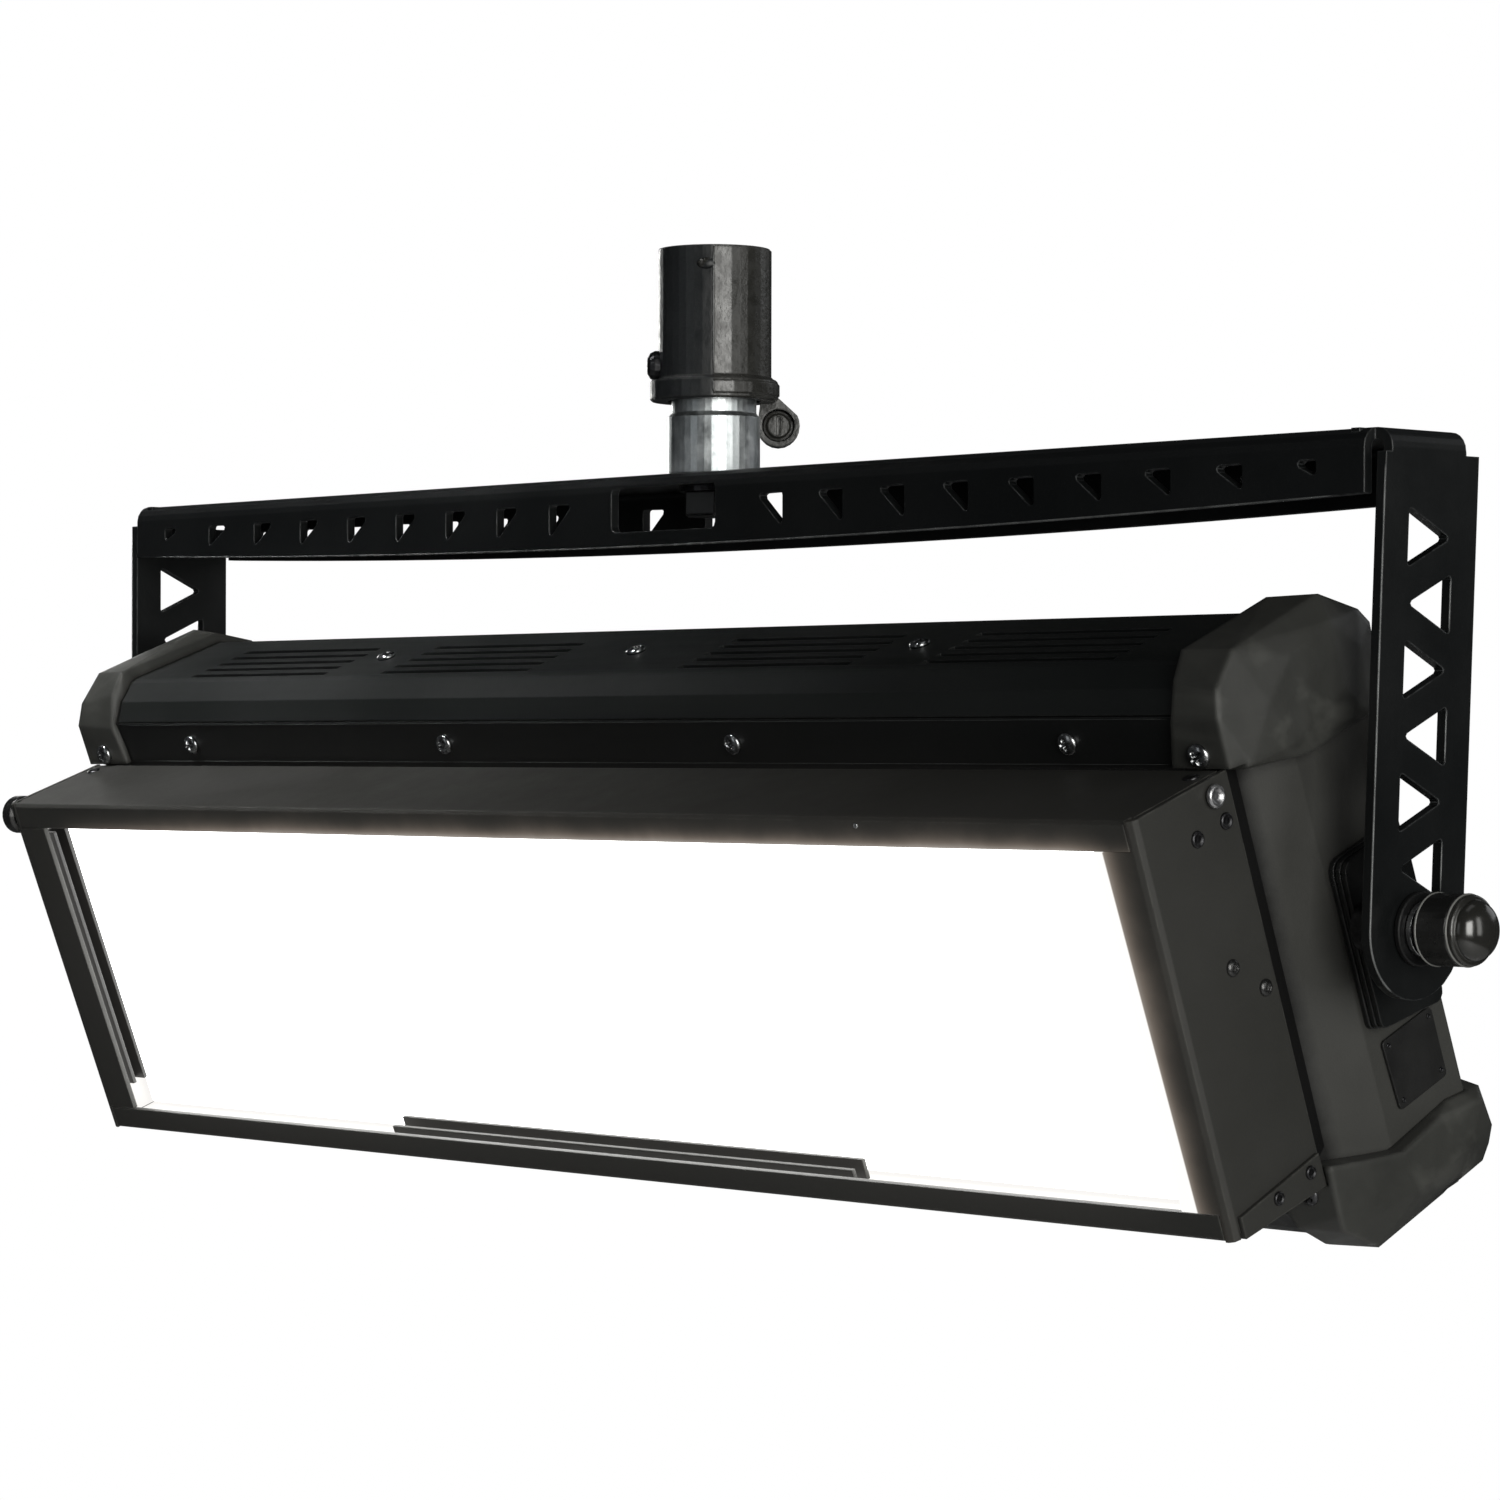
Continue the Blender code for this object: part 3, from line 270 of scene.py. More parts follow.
CASTING = casting()
COVER = painted("cover_black", (0.0040, 0.0052, 0.0050), (0.0072, 0.0088, 0.0084), 0.44, 0.0005, (0.035, 0.037, 0.037), patch=7.0,
                smear=(3.0, 60.0, 60.0))
FRAME_BLACK = painted("frame_black", (0.0028, 0.0034, 0.0034), (0.0052, 0.0060, 0.0060), 0.42, 0.0004, (0.03, 0.032, 0.032), patch=8.0)
# Lighter grey for the fine lines on the front band: a painted highlight on its edges.
EDGE = painted("fine_edge", (0.022, 0.024, 0.024), (0.060, 0.063, 0.063), 0.34, 0.0002, patch=60.0, grain=1800.0, grain_depth=0.00001)
HOOD_TONES = (0.0185, 0.0185, 0.0162), (0.0250, 0.0250, 0.0222)
HOOD = painted("hood_charcoal", *HOOD_TONES, 0.52, 0.0008, (0.090, 0.090, 0.080), patch=10.0, grain=1700.0)


def own_frame(L):
    """Position in the head's own frame, in metres."""
    own = L.new("Mapping")
    own.inputs["Rotation"].default_value = (-TILT, 0, 0)
    own.inputs["Location"].default_value = (0, 0.1978 * math.sin(TILT), 0.1978 * math.cos(TILT))
    L.link(L.coord, own.inputs["Vector"])
    sep = L.new("SeparateXYZ")
    L.link(own.outputs["Vector"], sep.inputs[0])
    return sep.outputs


def flooded(L, at):
    """Mask of the hood's inner faces in front of the lit sheet, where a painted glow stands in for the light that
    floods them.
    """
    wall = L.math("ADD", L.math("ABSOLUTE", at[0]), L.math("MULTIPLY", L.math("SUBTRACT", 0.0566, at[2]), 0.014))
    near_wall = L.math("LESS_THAN", L.math("ABSOLUTE", L.math("SUBTRACT", wall, 0.2504)), 0.00025)
    near_wall = L.math("MULTIPLY", near_wall, L.math("LESS_THAN", at[2], 0.0480))
    near_floor = L.math("LESS_THAN", L.math("ABSOLUTE", L.math("ADD", at[2], 0.0577)), 0.0002)
    near_floor = L.math("MULTIPLY", near_floor, L.math("LESS_THAN", wall, 0.2507))
    faces = L.math("MAXIMUM", near_wall, near_floor)
    depth = L.math("MULTIPLY", L.spread(at[1], 1.0, 0.0, -0.0500, -0.0480), L.math("GREATER_THAN", at[1], -0.0690))
    return L.math("MULTIPLY", L.math("MULTIPLY", faces, depth), 0.88)


GLOW_STOPS = (0.0, (0.0, 0.0, 0.0)), (0.12, (0.12, 0.098, 0.080)), (0.45, (0.47, 0.43, 0.39)), (1.0, (1.0, 0.99, 0.97))


def hood_paint(L):
    edge = L.edges(0.0008)
    base = L.ramp(L.spread(L.noise(10.0, 4.0, 0.6), 0.0, 1.0, 0.3, 0.7), (0.0, HOOD_TONES[0]), (1.0, HOOD_TONES[1]))
    base = L.mix(L.math("MULTIPLY", edge, L.spread(L.noise(160.0, 4.0, 0.7), 0.15, 1.0, 0.42, 0.6)), base, (0.090, 0.090, 0.080))
    value = L.spread(L.noise(23.0, 5.0, 0.65), 0.45, 0.61, 0.3, 0.7)
    L.bump(L.noise(1700.0, 2.0, 0.5), 0.00003)
    return base, value


def lit_inside(name):
    """Hood paint with a painted glow on the faces that look at the lit sheet, standing in for the light that floods
    them.
    """
    L = Look(name)
    base, value = hood_paint(L)
    L.link(L.ramp(flooded(L, own_frame(L)), *GLOW_STOPS), L.bsdf.inputs["Emission Color"])
    L.set(Emission_Strength=1.0)
    return L.done(base, value)


def lipped(name, axis, centre, front, taper, reach, core, fade=None):
    """Hood paint whose front lip carries a painted glow, emission for the spill light from the lit sheet, strongest at
    its free edge.

    The free edge lies at `centre` on `axis` of the head's own frame; y < `front` is the lip. `core` is how far the
    spill is full, and
    `taper` makes that longer towards the bottom. `fade` gives the two places along x between which the spill sets in.
    """
    L = Look(name)
    base, value = hood_paint(L)
    at = own_frame(L)
    along = L.math("SUBTRACT", L.math("ABSOLUTE", at[axis]) if axis == 0 else at[axis], centre)
    if taper:
        along = L.math("SUBTRACT", along, L.math("MULTIPLY", L.math("SUBTRACT", 0.048, at[2]), taper))
    past = L.math("MAXIMUM", L.math("SUBTRACT", along, core), 0.0)
    ragged = L.spread(L.noise(34.0, 4.0, 0.6), 0.82, 1.2, 0.35, 0.65)
    fall = L.math("EXPONENT", L.math("MULTIPLY", L.math("DIVIDE", past, -reach), ragged))
    white = L.math("SUBTRACT", 1.0, L.spread(past, 0.0, 1.0, 0.0, 0.0006))
    amount = L.math("ADD", L.math("MULTIPLY", fall, 0.42 if axis == 2 else 0.26), white)
    on_lip = L.spread(at[1], 1.0, 0.0, front - 0.0004, front + 0.0004)
    amount = L.math("MULTIPLY", L.math("MINIMUM", amount, 1.0), on_lip)
    if fade:
        amount = L.math("MULTIPLY", amount, L.spread(at[0], 0.0, 1.0, *fade))
        amount = L.math("MULTIPLY", amount, L.spread(at[0], 1.0, 0.15, 0.224, 0.242))
    else:
        amount = L.math("MAXIMUM", amount, flooded(L, at))
    # Painted glow: the lip emits, standing in for the sheet's spill light.
    L.link(L.ramp(amount, *GLOW_STOPS), L.bsdf.inputs["Emission Color"])
    L.set(Emission_Strength=1.0)
    return L.done(base, value)


INNER = lit_inside("inner_charcoal")
# Painted glow on the lips of the flap and the right side.
FLAP = lipped("flap_charcoal", 2, 0.0481, -0.0686, 0.0, 0.0015, -0.0002, (-0.228, -0.110))
SIDE = lipped("side_charcoal", 0, 0.2362, -0.0686, 0.010, 0.0026, 0.0024)


def plate_paint():
    """End plate: charcoal like the hood, with a painted shadow dark along the corner that it makes with the hood's
    side.
    """
    L = Look("end_plate_charcoal")
    edge = L.edges(0.0010)
    base = L.ramp(L.spread(L.noise(12.0, 4.0, 0.6), 0.0, 1.0, 0.3, 0.7), (0.0, (0.034, 0.034, 0.031)), (1.0, (0.047, 0.047, 0.043)))
    base = L.mix(L.math("MULTIPLY", edge, L.spread(L.noise(160.0, 4.0, 0.7), 0.15, 1.0, 0.42, 0.6)), base, (0.10, 0.10, 0.094))
    at = own_frame(L)
    deep = L.math("SUBTRACT", L.math("MULTIPLY", at[1], -1.0), L.math("MULTIPLY", L.math("SUBTRACT", 0.0566, at[2]), 0.0174))
    painted_shadow = L.math("ADD", deep, L.spread(L.noise(120.0, 4.0, 0.6), -0.0006, 0.0006, 0.35, 0.65))
    # Painted shadow: near black along the strip that the hood's side shades, and rougher there.
    base = L.mix(L.spread(painted_shadow, 0.0, 0.96, 0.0176, 0.0234), base, (0.003, 0.003, 0.0028))
    value = L.math("ADD", L.spread(L.noise(27.6, 5.0, 0.65), 0.40, 0.56, 0.3, 0.7), L.spread(painted_shadow, 0.0, 0.45, 0.0176, 0.0234))
    L.bump(L.noise(1500.0, 2.0, 0.5), 0.00003)
    return L.done(base, value)


PLATE = plate_paint()
RAIL = painted("rail_black", (0.006, 0.006, 0.006), (0.012, 0.012, 0.011), 0.38, 0.0005, (0.10, 0.10, 0.09), patch=18.0)
BRACKET = painted("bracket_black", (0.0035, 0.004, 0.004), (0.007, 0.008, 0.008), 0.32, 0.0006, (0.06, 0.06, 0.06), patch=20.0)
BUMPER = moulded("bumper_grey", (0.026, 0.0265, 0.0242), (0.042, 0.0425, 0.0385), 0.42, 0.0026, soft=0.0011, soft_scale=30.0, grain=1300.0, rubbed=0.55)
KNOB = moulded("knob_black", (0.0045, 0.0046, 0.0046), (0.0085, 0.0086, 0.0084), 0.27, 0.0007, grain=700.0, grain_depth=0.00001, spec=0.85)
CAP = moulded("cap_black", (0.013, 0.013, 0.0115), (0.021, 0.0205, 0.0180), 0.17, 0.0006, grain=700.0, grain_depth=0.000008, spec=0.85)
# Light grey for the knob rims: a painted highlight, the glint round each rim.
RIM_HIGHLIGHT = moulded("painted_rim_highlight", (0.10, 0.10, 0.095), (0.20, 0.20, 0.19), 0.22, 0.0002, grain=700.0, grain_depth=0.000008)
SEAL = moulded("seal_black", (0.0012, 0.0012, 0.0012), (0.0026, 0.0026, 0.0026), 0.75, 0.0003, grain=500.0, grain_depth=0.00006, spec=0.15)
WASHER = moulded("washer_black", (0.0018, 0.0019, 0.0020), (0.0040, 0.0042, 0.0044), 0.48, 0.0004, grain=900.0, grain_depth=0.00004, spec=0.3)
PANEL = moulded("panel_black", (0.008, 0.008, 0.008), (0.014, 0.014, 0.0135), 0.42, 0.0005, grain=1100.0)
RUBBER = moulded("rubber_black", (0.006, 0.006, 0.006), (0.012, 0.012, 0.0115), 0.62, 0.0004, grain=800.0, grain_depth=0.00005)
ZINC = metal("zinc_plate", (0.36, 0.39, 0.40), (0.80, 0.83, 0.84), 0.41, (230.0, 230.0, 22.0), 1.0, 0.00009, spots=420.0)
BRIGHT = metal("bright_steel", (0.42, 0.43, 0.44), (0.86, 0.87, 0.88), 0.24, (400.0, 400.0, 400.0), 1.0, 0.00003)
SCREW_STEEL = metal("screw_steel", (0.14, 0.145, 0.15), (0.56, 0.57, 0.58), 0.20, (400.0, 400.0, 400.0), 1.0, 0.00003)
PIN_STEEL = metal("pin_steel", (0.34, 0.34, 0.35), (0.66, 0.66, 0.67), 0.33, (400.0, 400.0, 400.0), 1.0, 0.00004)
BLACKENED = metal("blackened_steel", (0.030, 0.030, 0.032), (0.11, 0.11, 0.115), 0.34, (300.0, 300.0, 300.0), 1.0, 0.00003)
ALLOY = metal("dark_alloy", (0.045, 0.046, 0.048), (0.11, 0.112, 0.116), 0.45, (6.0, 300.0, 300.0), 1.0, 0.00003)
NICKEL = metal("contact_nickel", (0.50, 0.48, 0.42), (0.80, 0.78, 0.70), 0.25, (300.0, 300.0, 300.0), 1.0, 0.00001)


def opal():
    """Lit opal sheet: even and white, with the faintest cloud in it."""
    L = Look("opal_lit")
    L.set(Roughness=0.55)
    cloud = L.noise(7.0, 3.0, 0.5)
    shine = L.ramp(L.spread(cloud, 0.0, 1.0, 0.3, 0.7), (0.0, (0.985, 0.985, 0.97)), (1.0, (1.0, 1.0, 0.995)))
    front = L.math("LESS_THAN", own_frame(L)[1], -0.0548)
    L.link(L.mix(front, (0.0, 0.0, 0.0), shine), L.bsdf.inputs["Emission Color"])
    L.set(Emission_Strength=OPAL_STRENGTH)
    L.bump(L.noise(1400.0, 2.0, 0.5), 0.00002)
    return L.done(L.ramp(cloud, (0.0, (0.90, 0.90, 0.885)), (1.0, (0.93, 0.93, 0.92))))


def white_board():
    L = Look("board_white")
    L.set(Roughness=0.4)
    L.bump(L.noise(600.0, 2.0), 0.00003)
    return L.done(L.ramp(L.noise(40.0, 3.0), (0.3, (0.78, 0.78, 0.76)), (0.7, (0.86, 0.86, 0.84))), L.spread(L.noise(90.0, 3.0), 0.3, 0.5))


def display():
    """Dark glass over a faint lit field, no characters."""
    L = Look("display_glass")
    L.set(Coat_Weight=1.0, Coat_Roughness=0.05, Emission_Strength=0.35)
    t = L.place((1.0, 1.0, 1.0))
    sep = L.new("SeparateXYZ")
    L.link(t, sep.inputs[0])
    field = L.math("MULTIPLY", L.math("LESS_THAN", L.math("ABSOLUTE", sep.outputs[0]), 0.0185),
                   L.math("LESS_THAN", L.math("ABSOLUTE", L.math("SUBTRACT", sep.outputs[2], -0.1955)), 0.0056))
    cloud = L.noise(300.0, 3.0)
    glow = L.mix(field, (0.0, 0.0, 0.0), (0.02, 0.10, 0.13))
    L.link(glow, L.bsdf.inputs["Emission Color"])
    return L.done(L.ramp(cloud, (0.3, (0.006, 0.010, 0.012)), (0.7, (0.012, 0.018, 0.02))), L.spread(cloud, 0.06, 0.14))


OPAL_STRENGTH = 4.0
OPAL = opal()
BOARD = white_board()
DISPLAY = display()

# Warm light colour for the flap's rolled edge: painted light from the lit sheet.
HEM = moulded("lit_edge", (0.05, 0.046, 0.040), (0.08, 0.074, 0.064), 0.5, 0.0002)
LIP_STUD = (151.2, 54.4)

LOOKS = {
    "hanger_socket": CASTING, "socket_clamp_screw": CASTING, "socket_cross_bolt": BLACKENED, "spigot": ZINC, "spigot_washer": BLACKENED,
    "spigot_bolt": BRACKET, "yoke_frame": YOKE, "front_frame": FRAME_BLACK, "top_cover": COVER, "bottom_cover": COVER,
    "rear_cover": COVER, "side_plate_right": PANEL, "led_board": BOARD, "heat_sink": ALLOY, "led_driver": ALLOY,
    "control_panel": PANEL, "display_window": DISPLAY, "button_down": RUBBER, "button_up": RUBBER, "button_enter": RUBBER,
    "power_inlet": PANEL, "data_input": BLACKENED, "data_output": BLACKENED, "hood_bottom": INNER, "hood_top_flap": FLAP,
    "latch_knob": KNOB, "diffuser": OPAL,
}
for side in ("right", "left"):
    LOOKS.update({
        f"friction_washer_{side}": WASHER, f"knob_washer_{side}": BRIGHT, f"tilt_stud_{side}": BRIGHT, f"tilt_knob_{side}": KNOB,
        f"tilt_knob_cap_{side}": CAP, f"end_plate_{side}": PLATE, f"bumper_upper_{side}": BUMPER, f"bumper_lower_{side}": BUMPER,
        f"pivot_bracket_{side}": BRACKET, f"pivot_boss_{side}": BLACKENED, f"hood_side_{side}": SIDE if side == "right" else INNER,
        f"accessory_rail_{side}": RAIL, f"hinge_pin_{side}": BRIGHT})
for k in (1, 2, 3):
    LOOKS[f"top_screw_{k}"] = BRIGHT
for k in (1, 2, 3, 4):
    LOOKS[f"band_screw_{k}"] = BRIGHT
for name, o in NODES.items():
    o.data.materials.clear()
    o.data.materials.append(LOOKS[name])


# --------------------------------------------------------------------- pieces

def smooth_step(a, b, v):
    t = min(1.0, max(0.0, (v - a) / (b - a)))
    return t * t * (3 - 2 * t)


def lathe(profile, seg=40):
    """Closed turned solid about +Z from a profile of (radius, height) points that starts and ends on the axis. Metres."""
    bm = bmesh.new()
    rings = []
    for r, z in profile:
        if r < 1e-7:
            rings.append([bm.verts.new((0, 0, z))])
        else:
            rings.append([bm.verts.new((r * math.cos(2 * math.pi * i / seg), r * math.sin(2 * math.pi * i / seg), z)) for i in range(seg)])
    for a, b in zip(rings, rings[1:]):
        for i in range(seg):
            j = (i + 1) % seg
            if len(a) == 1:
                bm.faces.new((a[0], b[i], b[j]))
            elif len(b) == 1:
                bm.faces.new((a[i], a[j], b[0])[::-1])
            else:
                bm.faces.new((a[i], b[i], b[j], a[j]))
    bmesh.ops.recalc_face_normals(bm, faces=bm.faces)
    return bm


def screw(r, h, drive="cross", rim=0.18):
    """Domed screw head with a pressed cross or a hexagon recess."""
    r, h = r * MM, h * MM
    rings = 16
    pts = [(0.0, -0.0005)] + [(r * 0.9, -0.0005), (r, -0.0001), (r, h * rim)]
    for k in range(1, rings):
        t = math.pi / 2 * k / rings
        pts.append((r * math.cos(t), h * rim + h * (1 - rim) * math.sin(t)))
    pts.append((0.0, h))
    bm = lathe(pts, 44)
    for v in bm.verts:
        x, y = v.co.x / r, v.co.y / r
        if v.co.z > h * rim + 1e-7:
            if drive == "cross":
                a, b = sorted((abs(x), abs(y)))
                depth = (1 - smooth_step(0.10, 0.20, a)) * (1 - smooth_step(0.50, 0.66, b))
            else:
                q = max(abs(x), abs(x * 0.5 + y * 0.866), abs(x * 0.5 - y * 0.866))
                depth = 1 - smooth_step(0.34, 0.42, q)
            v.co.z -= depth * h * 0.62
    return bm


def rivet(r, h):
    """Flat-domed rivet with a fine rim around a slightly sunk middle."""
    r, h = r * MM, h * MM
    prof = [(0.0, -0.0004), (r * 0.95, -0.0004), (r, 0.0), (r * 0.99, h * 0.45), (r * 0.90, h * 0.85), (r * 0.80, h), (r * 0.66, h * 0.97),
            (r * 0.56, h * 0.72), (r * 0.44, h * 0.60), (r * 0.3, h * 0.66), (r * 0.14, h * 0.74), (0.0, h * 0.76)]
    return lathe(prof, 36)


def put(name, bm, look, where, body, smooth=50.0):
    """Adds a piece built about its own +Z at the given place and lets it ride on a body."""
    mesh = bpy.data.meshes.new(name)
    bm.to_mesh(mesh)
    bm.free()
    mesh.materials.append(look)
    for p in mesh.polygons:
        p.use_smooth = True
    o = bpy.data.objects.new(name, mesh)
    scene.collection.objects.link(o)
    o.matrix_world = where
    bpy.context.view_layer.update()
    if smooth:
        mesh.set_sharp_from_angle(angle=math.radians(smooth))
    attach(o, body)
    return o


def on_head(x, f, u, facing, spin=0.0):
    """Matrix for a piece at head coordinates (mm) whose +Z looks along facing, given in x, f, u."""
    z = Vector((facing[0], -facing[1], facing[2])).normalized()
    turn = z.to_track_quat("Z", "Y").to_matrix().to_4x4()
    return HEAD @ Matrix.Translation((x * MM, -f * MM, u * MM)) @ turn @ Matrix.Rotation(math.radians(spin), 4, "Z")


# Body screws: bright cross-head, in place of the plain ones.
for k, x in enumerate((-120.5, 0.0, 120.5)):
    o = put(f"cover_screw_{k + 1}", screw(3.0, 1.5), SCREW_STEEL, on_head(x, 2.5, 81.9, (0, 0, 1), 20 + 33 * k), "head")
    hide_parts(f"top_screw_{k + 1}")
for k, x in enumerate((-197.0, -65.5, 65.5, 197.0)):
    o = put(f"front_screw_{k + 1}", screw(3.2, 1.6), SCREW_STEEL, on_head(x, 31.6, 63.0, (0, 1, 0), 12 + 27 * k), "head")
    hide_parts(f"band_screw_{k + 1}")
for k, x in enumerate((-120.5, 0.0, 120.5)):
    put(f"under_screw_{k + 1}", screw(3.0, 1.2), SCREW_STEEL, on_head(x, 2.5, -81.6, (0, 0, -1), 40 * k), "head")

for side, s in (("right", 1), ("left", -1)):
    put(f"bumper_screw_{side}", screw(3.5, 1.9), SCREW_STEEL, on_head(s * 244.6, 33.9, 60.4, (0.05 * s, 1, 0), 30), "head")
    put(f"bumper_screw_low_{side}", screw(3.0, 1.5), BLACKENED, on_head(s * 244.7, 33.8, -62.6, (0.0, 1, 0), 50), "head")
    lean = math.atan(0.014)

    def face(u):
        return s * (252.0 - 0.014 * (56.6 - u))

    out = (s, 0, -0.014)
    for k, (f, u) in enumerate(((37.7, 44.2), (49.5, 43.7))):
        put(f"hood_rivet_{side}_{k + 1}", rivet(2.3, 0.75), BLACKENED, on_head(face(u), f, u, out), "head")
    for k, (f, u) in enumerate(((48.0, 7.8), (37.8, -1.8))):
        put(f"hood_screw_{side}_{k + 1}", screw(2.3, 1.35, "hex"), KNOB, on_head(face(u), f, u, out, 15 * k), "head")
    for k, (f, u) in enumerate(((39.0, -53.4), (52.8, -54.6))):
        put(f"tab_rivet_{side}_{k + 1}", rivet(1.9, 0.7), BLACKENED, on_head(face(u) + s * 1.5, f, u, out), "head")
    put(f"flap_screw_{side}", rivet(2.2, 0.5), BLACKENED, on_head(s * 245.4, 39.5, 56.6, (0, 0, 1)), "flap")
    put(f"bracket_screw_{side}", screw(2.4, 1.4, "hex"), BLACKENED, on_head(s * 255.6, -8.0, 14.5, (s, 0, 0), 10), "head")
    put(f"bracket_screw_low_{side}", screw(2.4, 1.4, "hex"), BLACKENED, on_head(s * 255.6, -12.0, -22.5, (s, 0, 0), 25), "head")

for k, (f, u) in enumerate(((-2.6, -35.2), (-20.6, -34.2), (-20.6, -49.8), (-3.4, -51.2))):
    put(f"side_plate_pin_{k + 1}", rivet(0.75, 0.35), BLACKENED, on_head(251.0, f, u, (1, 0, 0)), "head")

# Rear: cover and panel screws, socket contacts, a display frame and key rings.
for k, (x, u) in enumerate(((-226.0, 64.0), (0.0, 64.0), (226.0, 64.0), (-226.0, -64.0), (0.0, -64.0), (226.0, -64.0))):
    put(f"rear_screw_{k + 1}", screw(2.9, 1.3), BLACKENED, on_head(x, -28.6, u, (0, -1, 0), 17 * k), "head")
for k, (x, u) in enumerate(((-99.0, 2.5), (99.0, 2.5), (-99.0, -44.5), (99.0, -44.5))):
    put(f"panel_screw_{k + 1}", screw(2.2, 1.1), BLACKENED, on_head(x, -30.3, u, (0, -1, 0), 23 * k), "head")
for name, x, count in (("data_input", -80.0, 5), ("data_output", -50.0, 5)):
    for k in range(count):
        a = math.radians(-60 + 300 * k / (count - 1) - 120)
        px, pu = x + 4.6 * math.cos(a), -22.0 + 4.6 * math.sin(a)
        if name == "data_input":
            pin = lathe([(0, 0), (0.0011, 0), (0.0011, 0.0092), (0.0008, 0.0101), (0, 0.0104)], 16)
        else:
            pin = lathe([(0, 0), (0.0016, 0), (0.0016, 0.0040), (0.0013, 0.0044), (0.0009, 0.0044), (0.0008, 0.0012), (0, 0.0010)], 18)
        put(f"{name}_contact_{k + 1}", pin, NICKEL, on_head(px, -18.1, pu, (0, -1, 0)), "head")
    for k, (dx, du) in enumerate(((-9.0, 9.4), (9.0, -9.4))):
        put(f"{name}_screw_{k + 1}", screw(1.5, 0.8), BRIGHT, on_head(x + dx, -30.3, -22.0 + du, (0, -1, 0), 30), "head")


def tube_frame(points, radius, seg=8):
    """Thin closed bead that follows a closed path of points (metres)."""
    bm = bmesh.new()
    n = len(points)
    rings = []
    for i, p in enumerate(points):
        d = (points[(i + 1) % n] - points[i - 1]).normalized()
        a = d.orthogonal().normalized() if abs(d.z) > 0.95 else Vector((0, 0, 1))
        b = d.cross(a).normalized()
        a = b.cross(d)
        rings.append([bm.verts.new(p + (a * math.cos(t) + b * math.sin(t)) * radius) for t in (2 * math.pi * q / seg for q in range(seg))])
    for i in range(n):
        a, b = rings[i], rings[(i + 1) % n]
        for q in range(seg):
            bm.faces.new((a[q], a[(q + 1) % seg], b[(q + 1) % seg], b[q]))
    bmesh.ops.recalc_face_normals(bm, faces=bm.faces)
    return bm


def rounded_box_path(w, h, r, steps=5):
    out = []
    for cx, cy, start in ((w - r, h - r, 0), (-w + r, h - r, 90), (-w + r, -h + r, 180), (w - r, -h + r, 270)):
        for k in range(steps + 1):
            a = math.radians(start + 90 * k / steps)
            out.append(Vector((cx + r * math.cos(a), cy + r * math.sin(a), 0)))
    return out


put("display_bezel", tube_frame(rounded_box_path(0.0232, 0.0092, 0.0018), 0.0006), PANEL, on_head(0, -30.3, -8.0, (0, -1, 0)), "head")
put("panel_trim", tube_frame(rounded_box_path(0.1022, 0.0262, 0.0030), 0.0005), PANEL, on_head(0, -30.4, -21.0, (0, -1, 0)), "head")
for k in range(3):
    ring = [Vector((0.0052 * math.cos(2 * math.pi * i / 32), 0.0052 * math.sin(2 * math.pi * i / 32), 0)) for i in range(32)]
    put(f"key_ring_{k + 1}", tube_frame(ring, 0.00045), PANEL, on_head(-16 + 16 * k, -30.3, -30.0, (0, -1, 0)), "head")

# Fine rolled rims on the tilt knobs, and the seam ring under each dome, in a light grey that is a painted highlight on
# these rims.
for side, s, body in (("right", 1, "knob_right"), ("left", -1, "knob_left")):
    lo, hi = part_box(f"tilt_knob_{side}")
    clo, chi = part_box(f"tilt_knob_cap_{side}")
    inner = lo.x if s > 0 else hi.x
    seam = clo.x if s > 0 else chi.x
    for tag, x, r, thick in (("rim", inner + s * 0.0011, 0.0094, 0.00034), ("seam", inner + s * 0.0111, 0.0093, 0.0003)):
        ring = [Vector((r * math.cos(2 * math.pi * i / 56), r * math.sin(2 * math.pi * i / 56), 0)) for i in range(56)]
        where = Matrix.Translation((x, 0, -0.1978)) @ Matrix.Rotation(math.radians(90), 4, "Y")
        put(f"knob_{tag}_{side}", tube_frame(ring, thick), RIM_HIGHLIGHT, where, body)


# The cap of each tilt knob, finer than the solid's: a flange, a groove and a smaller round dome.
for side, s, body in (("right", 1, "knob_right"), ("left", -1, "knob_left")):
    lo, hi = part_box(f"tilt_knob_cap_{side}")
    inner = lo.x if s > 0 else hi.x
    long = (hi.x - lo.x) / MM
    prof = [(0.0, 0.0), (5.0, 0.0), (5.0, 2.5), (8.75, 2.5), (9.1, 2.65), (9.25, 3.0), (9.25, 3.6), (9.1, 3.95), (8.7, 4.1),
            (8.15, 4.08), (7.9, 4.2), (7.9, 4.4)]
    for k in range(1, 18):
        a = math.radians(90.0 * k / 18)
        prof.append((7.9 * math.cos(a), 4.4 + (long - 4.4) * math.sin(a)))
    prof.append((0.0, long))
    where = Matrix.Translation((inner, 0, -0.1978)) @ Matrix.Rotation(math.radians(90 * s), 4, "Y")
    o = put(f"knob_dome_{side}", lathe([(r * MM, h * MM) for r, h in prof], 72), CAP, where, body, 55)
    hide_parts(f"tilt_knob_cap_{side}")


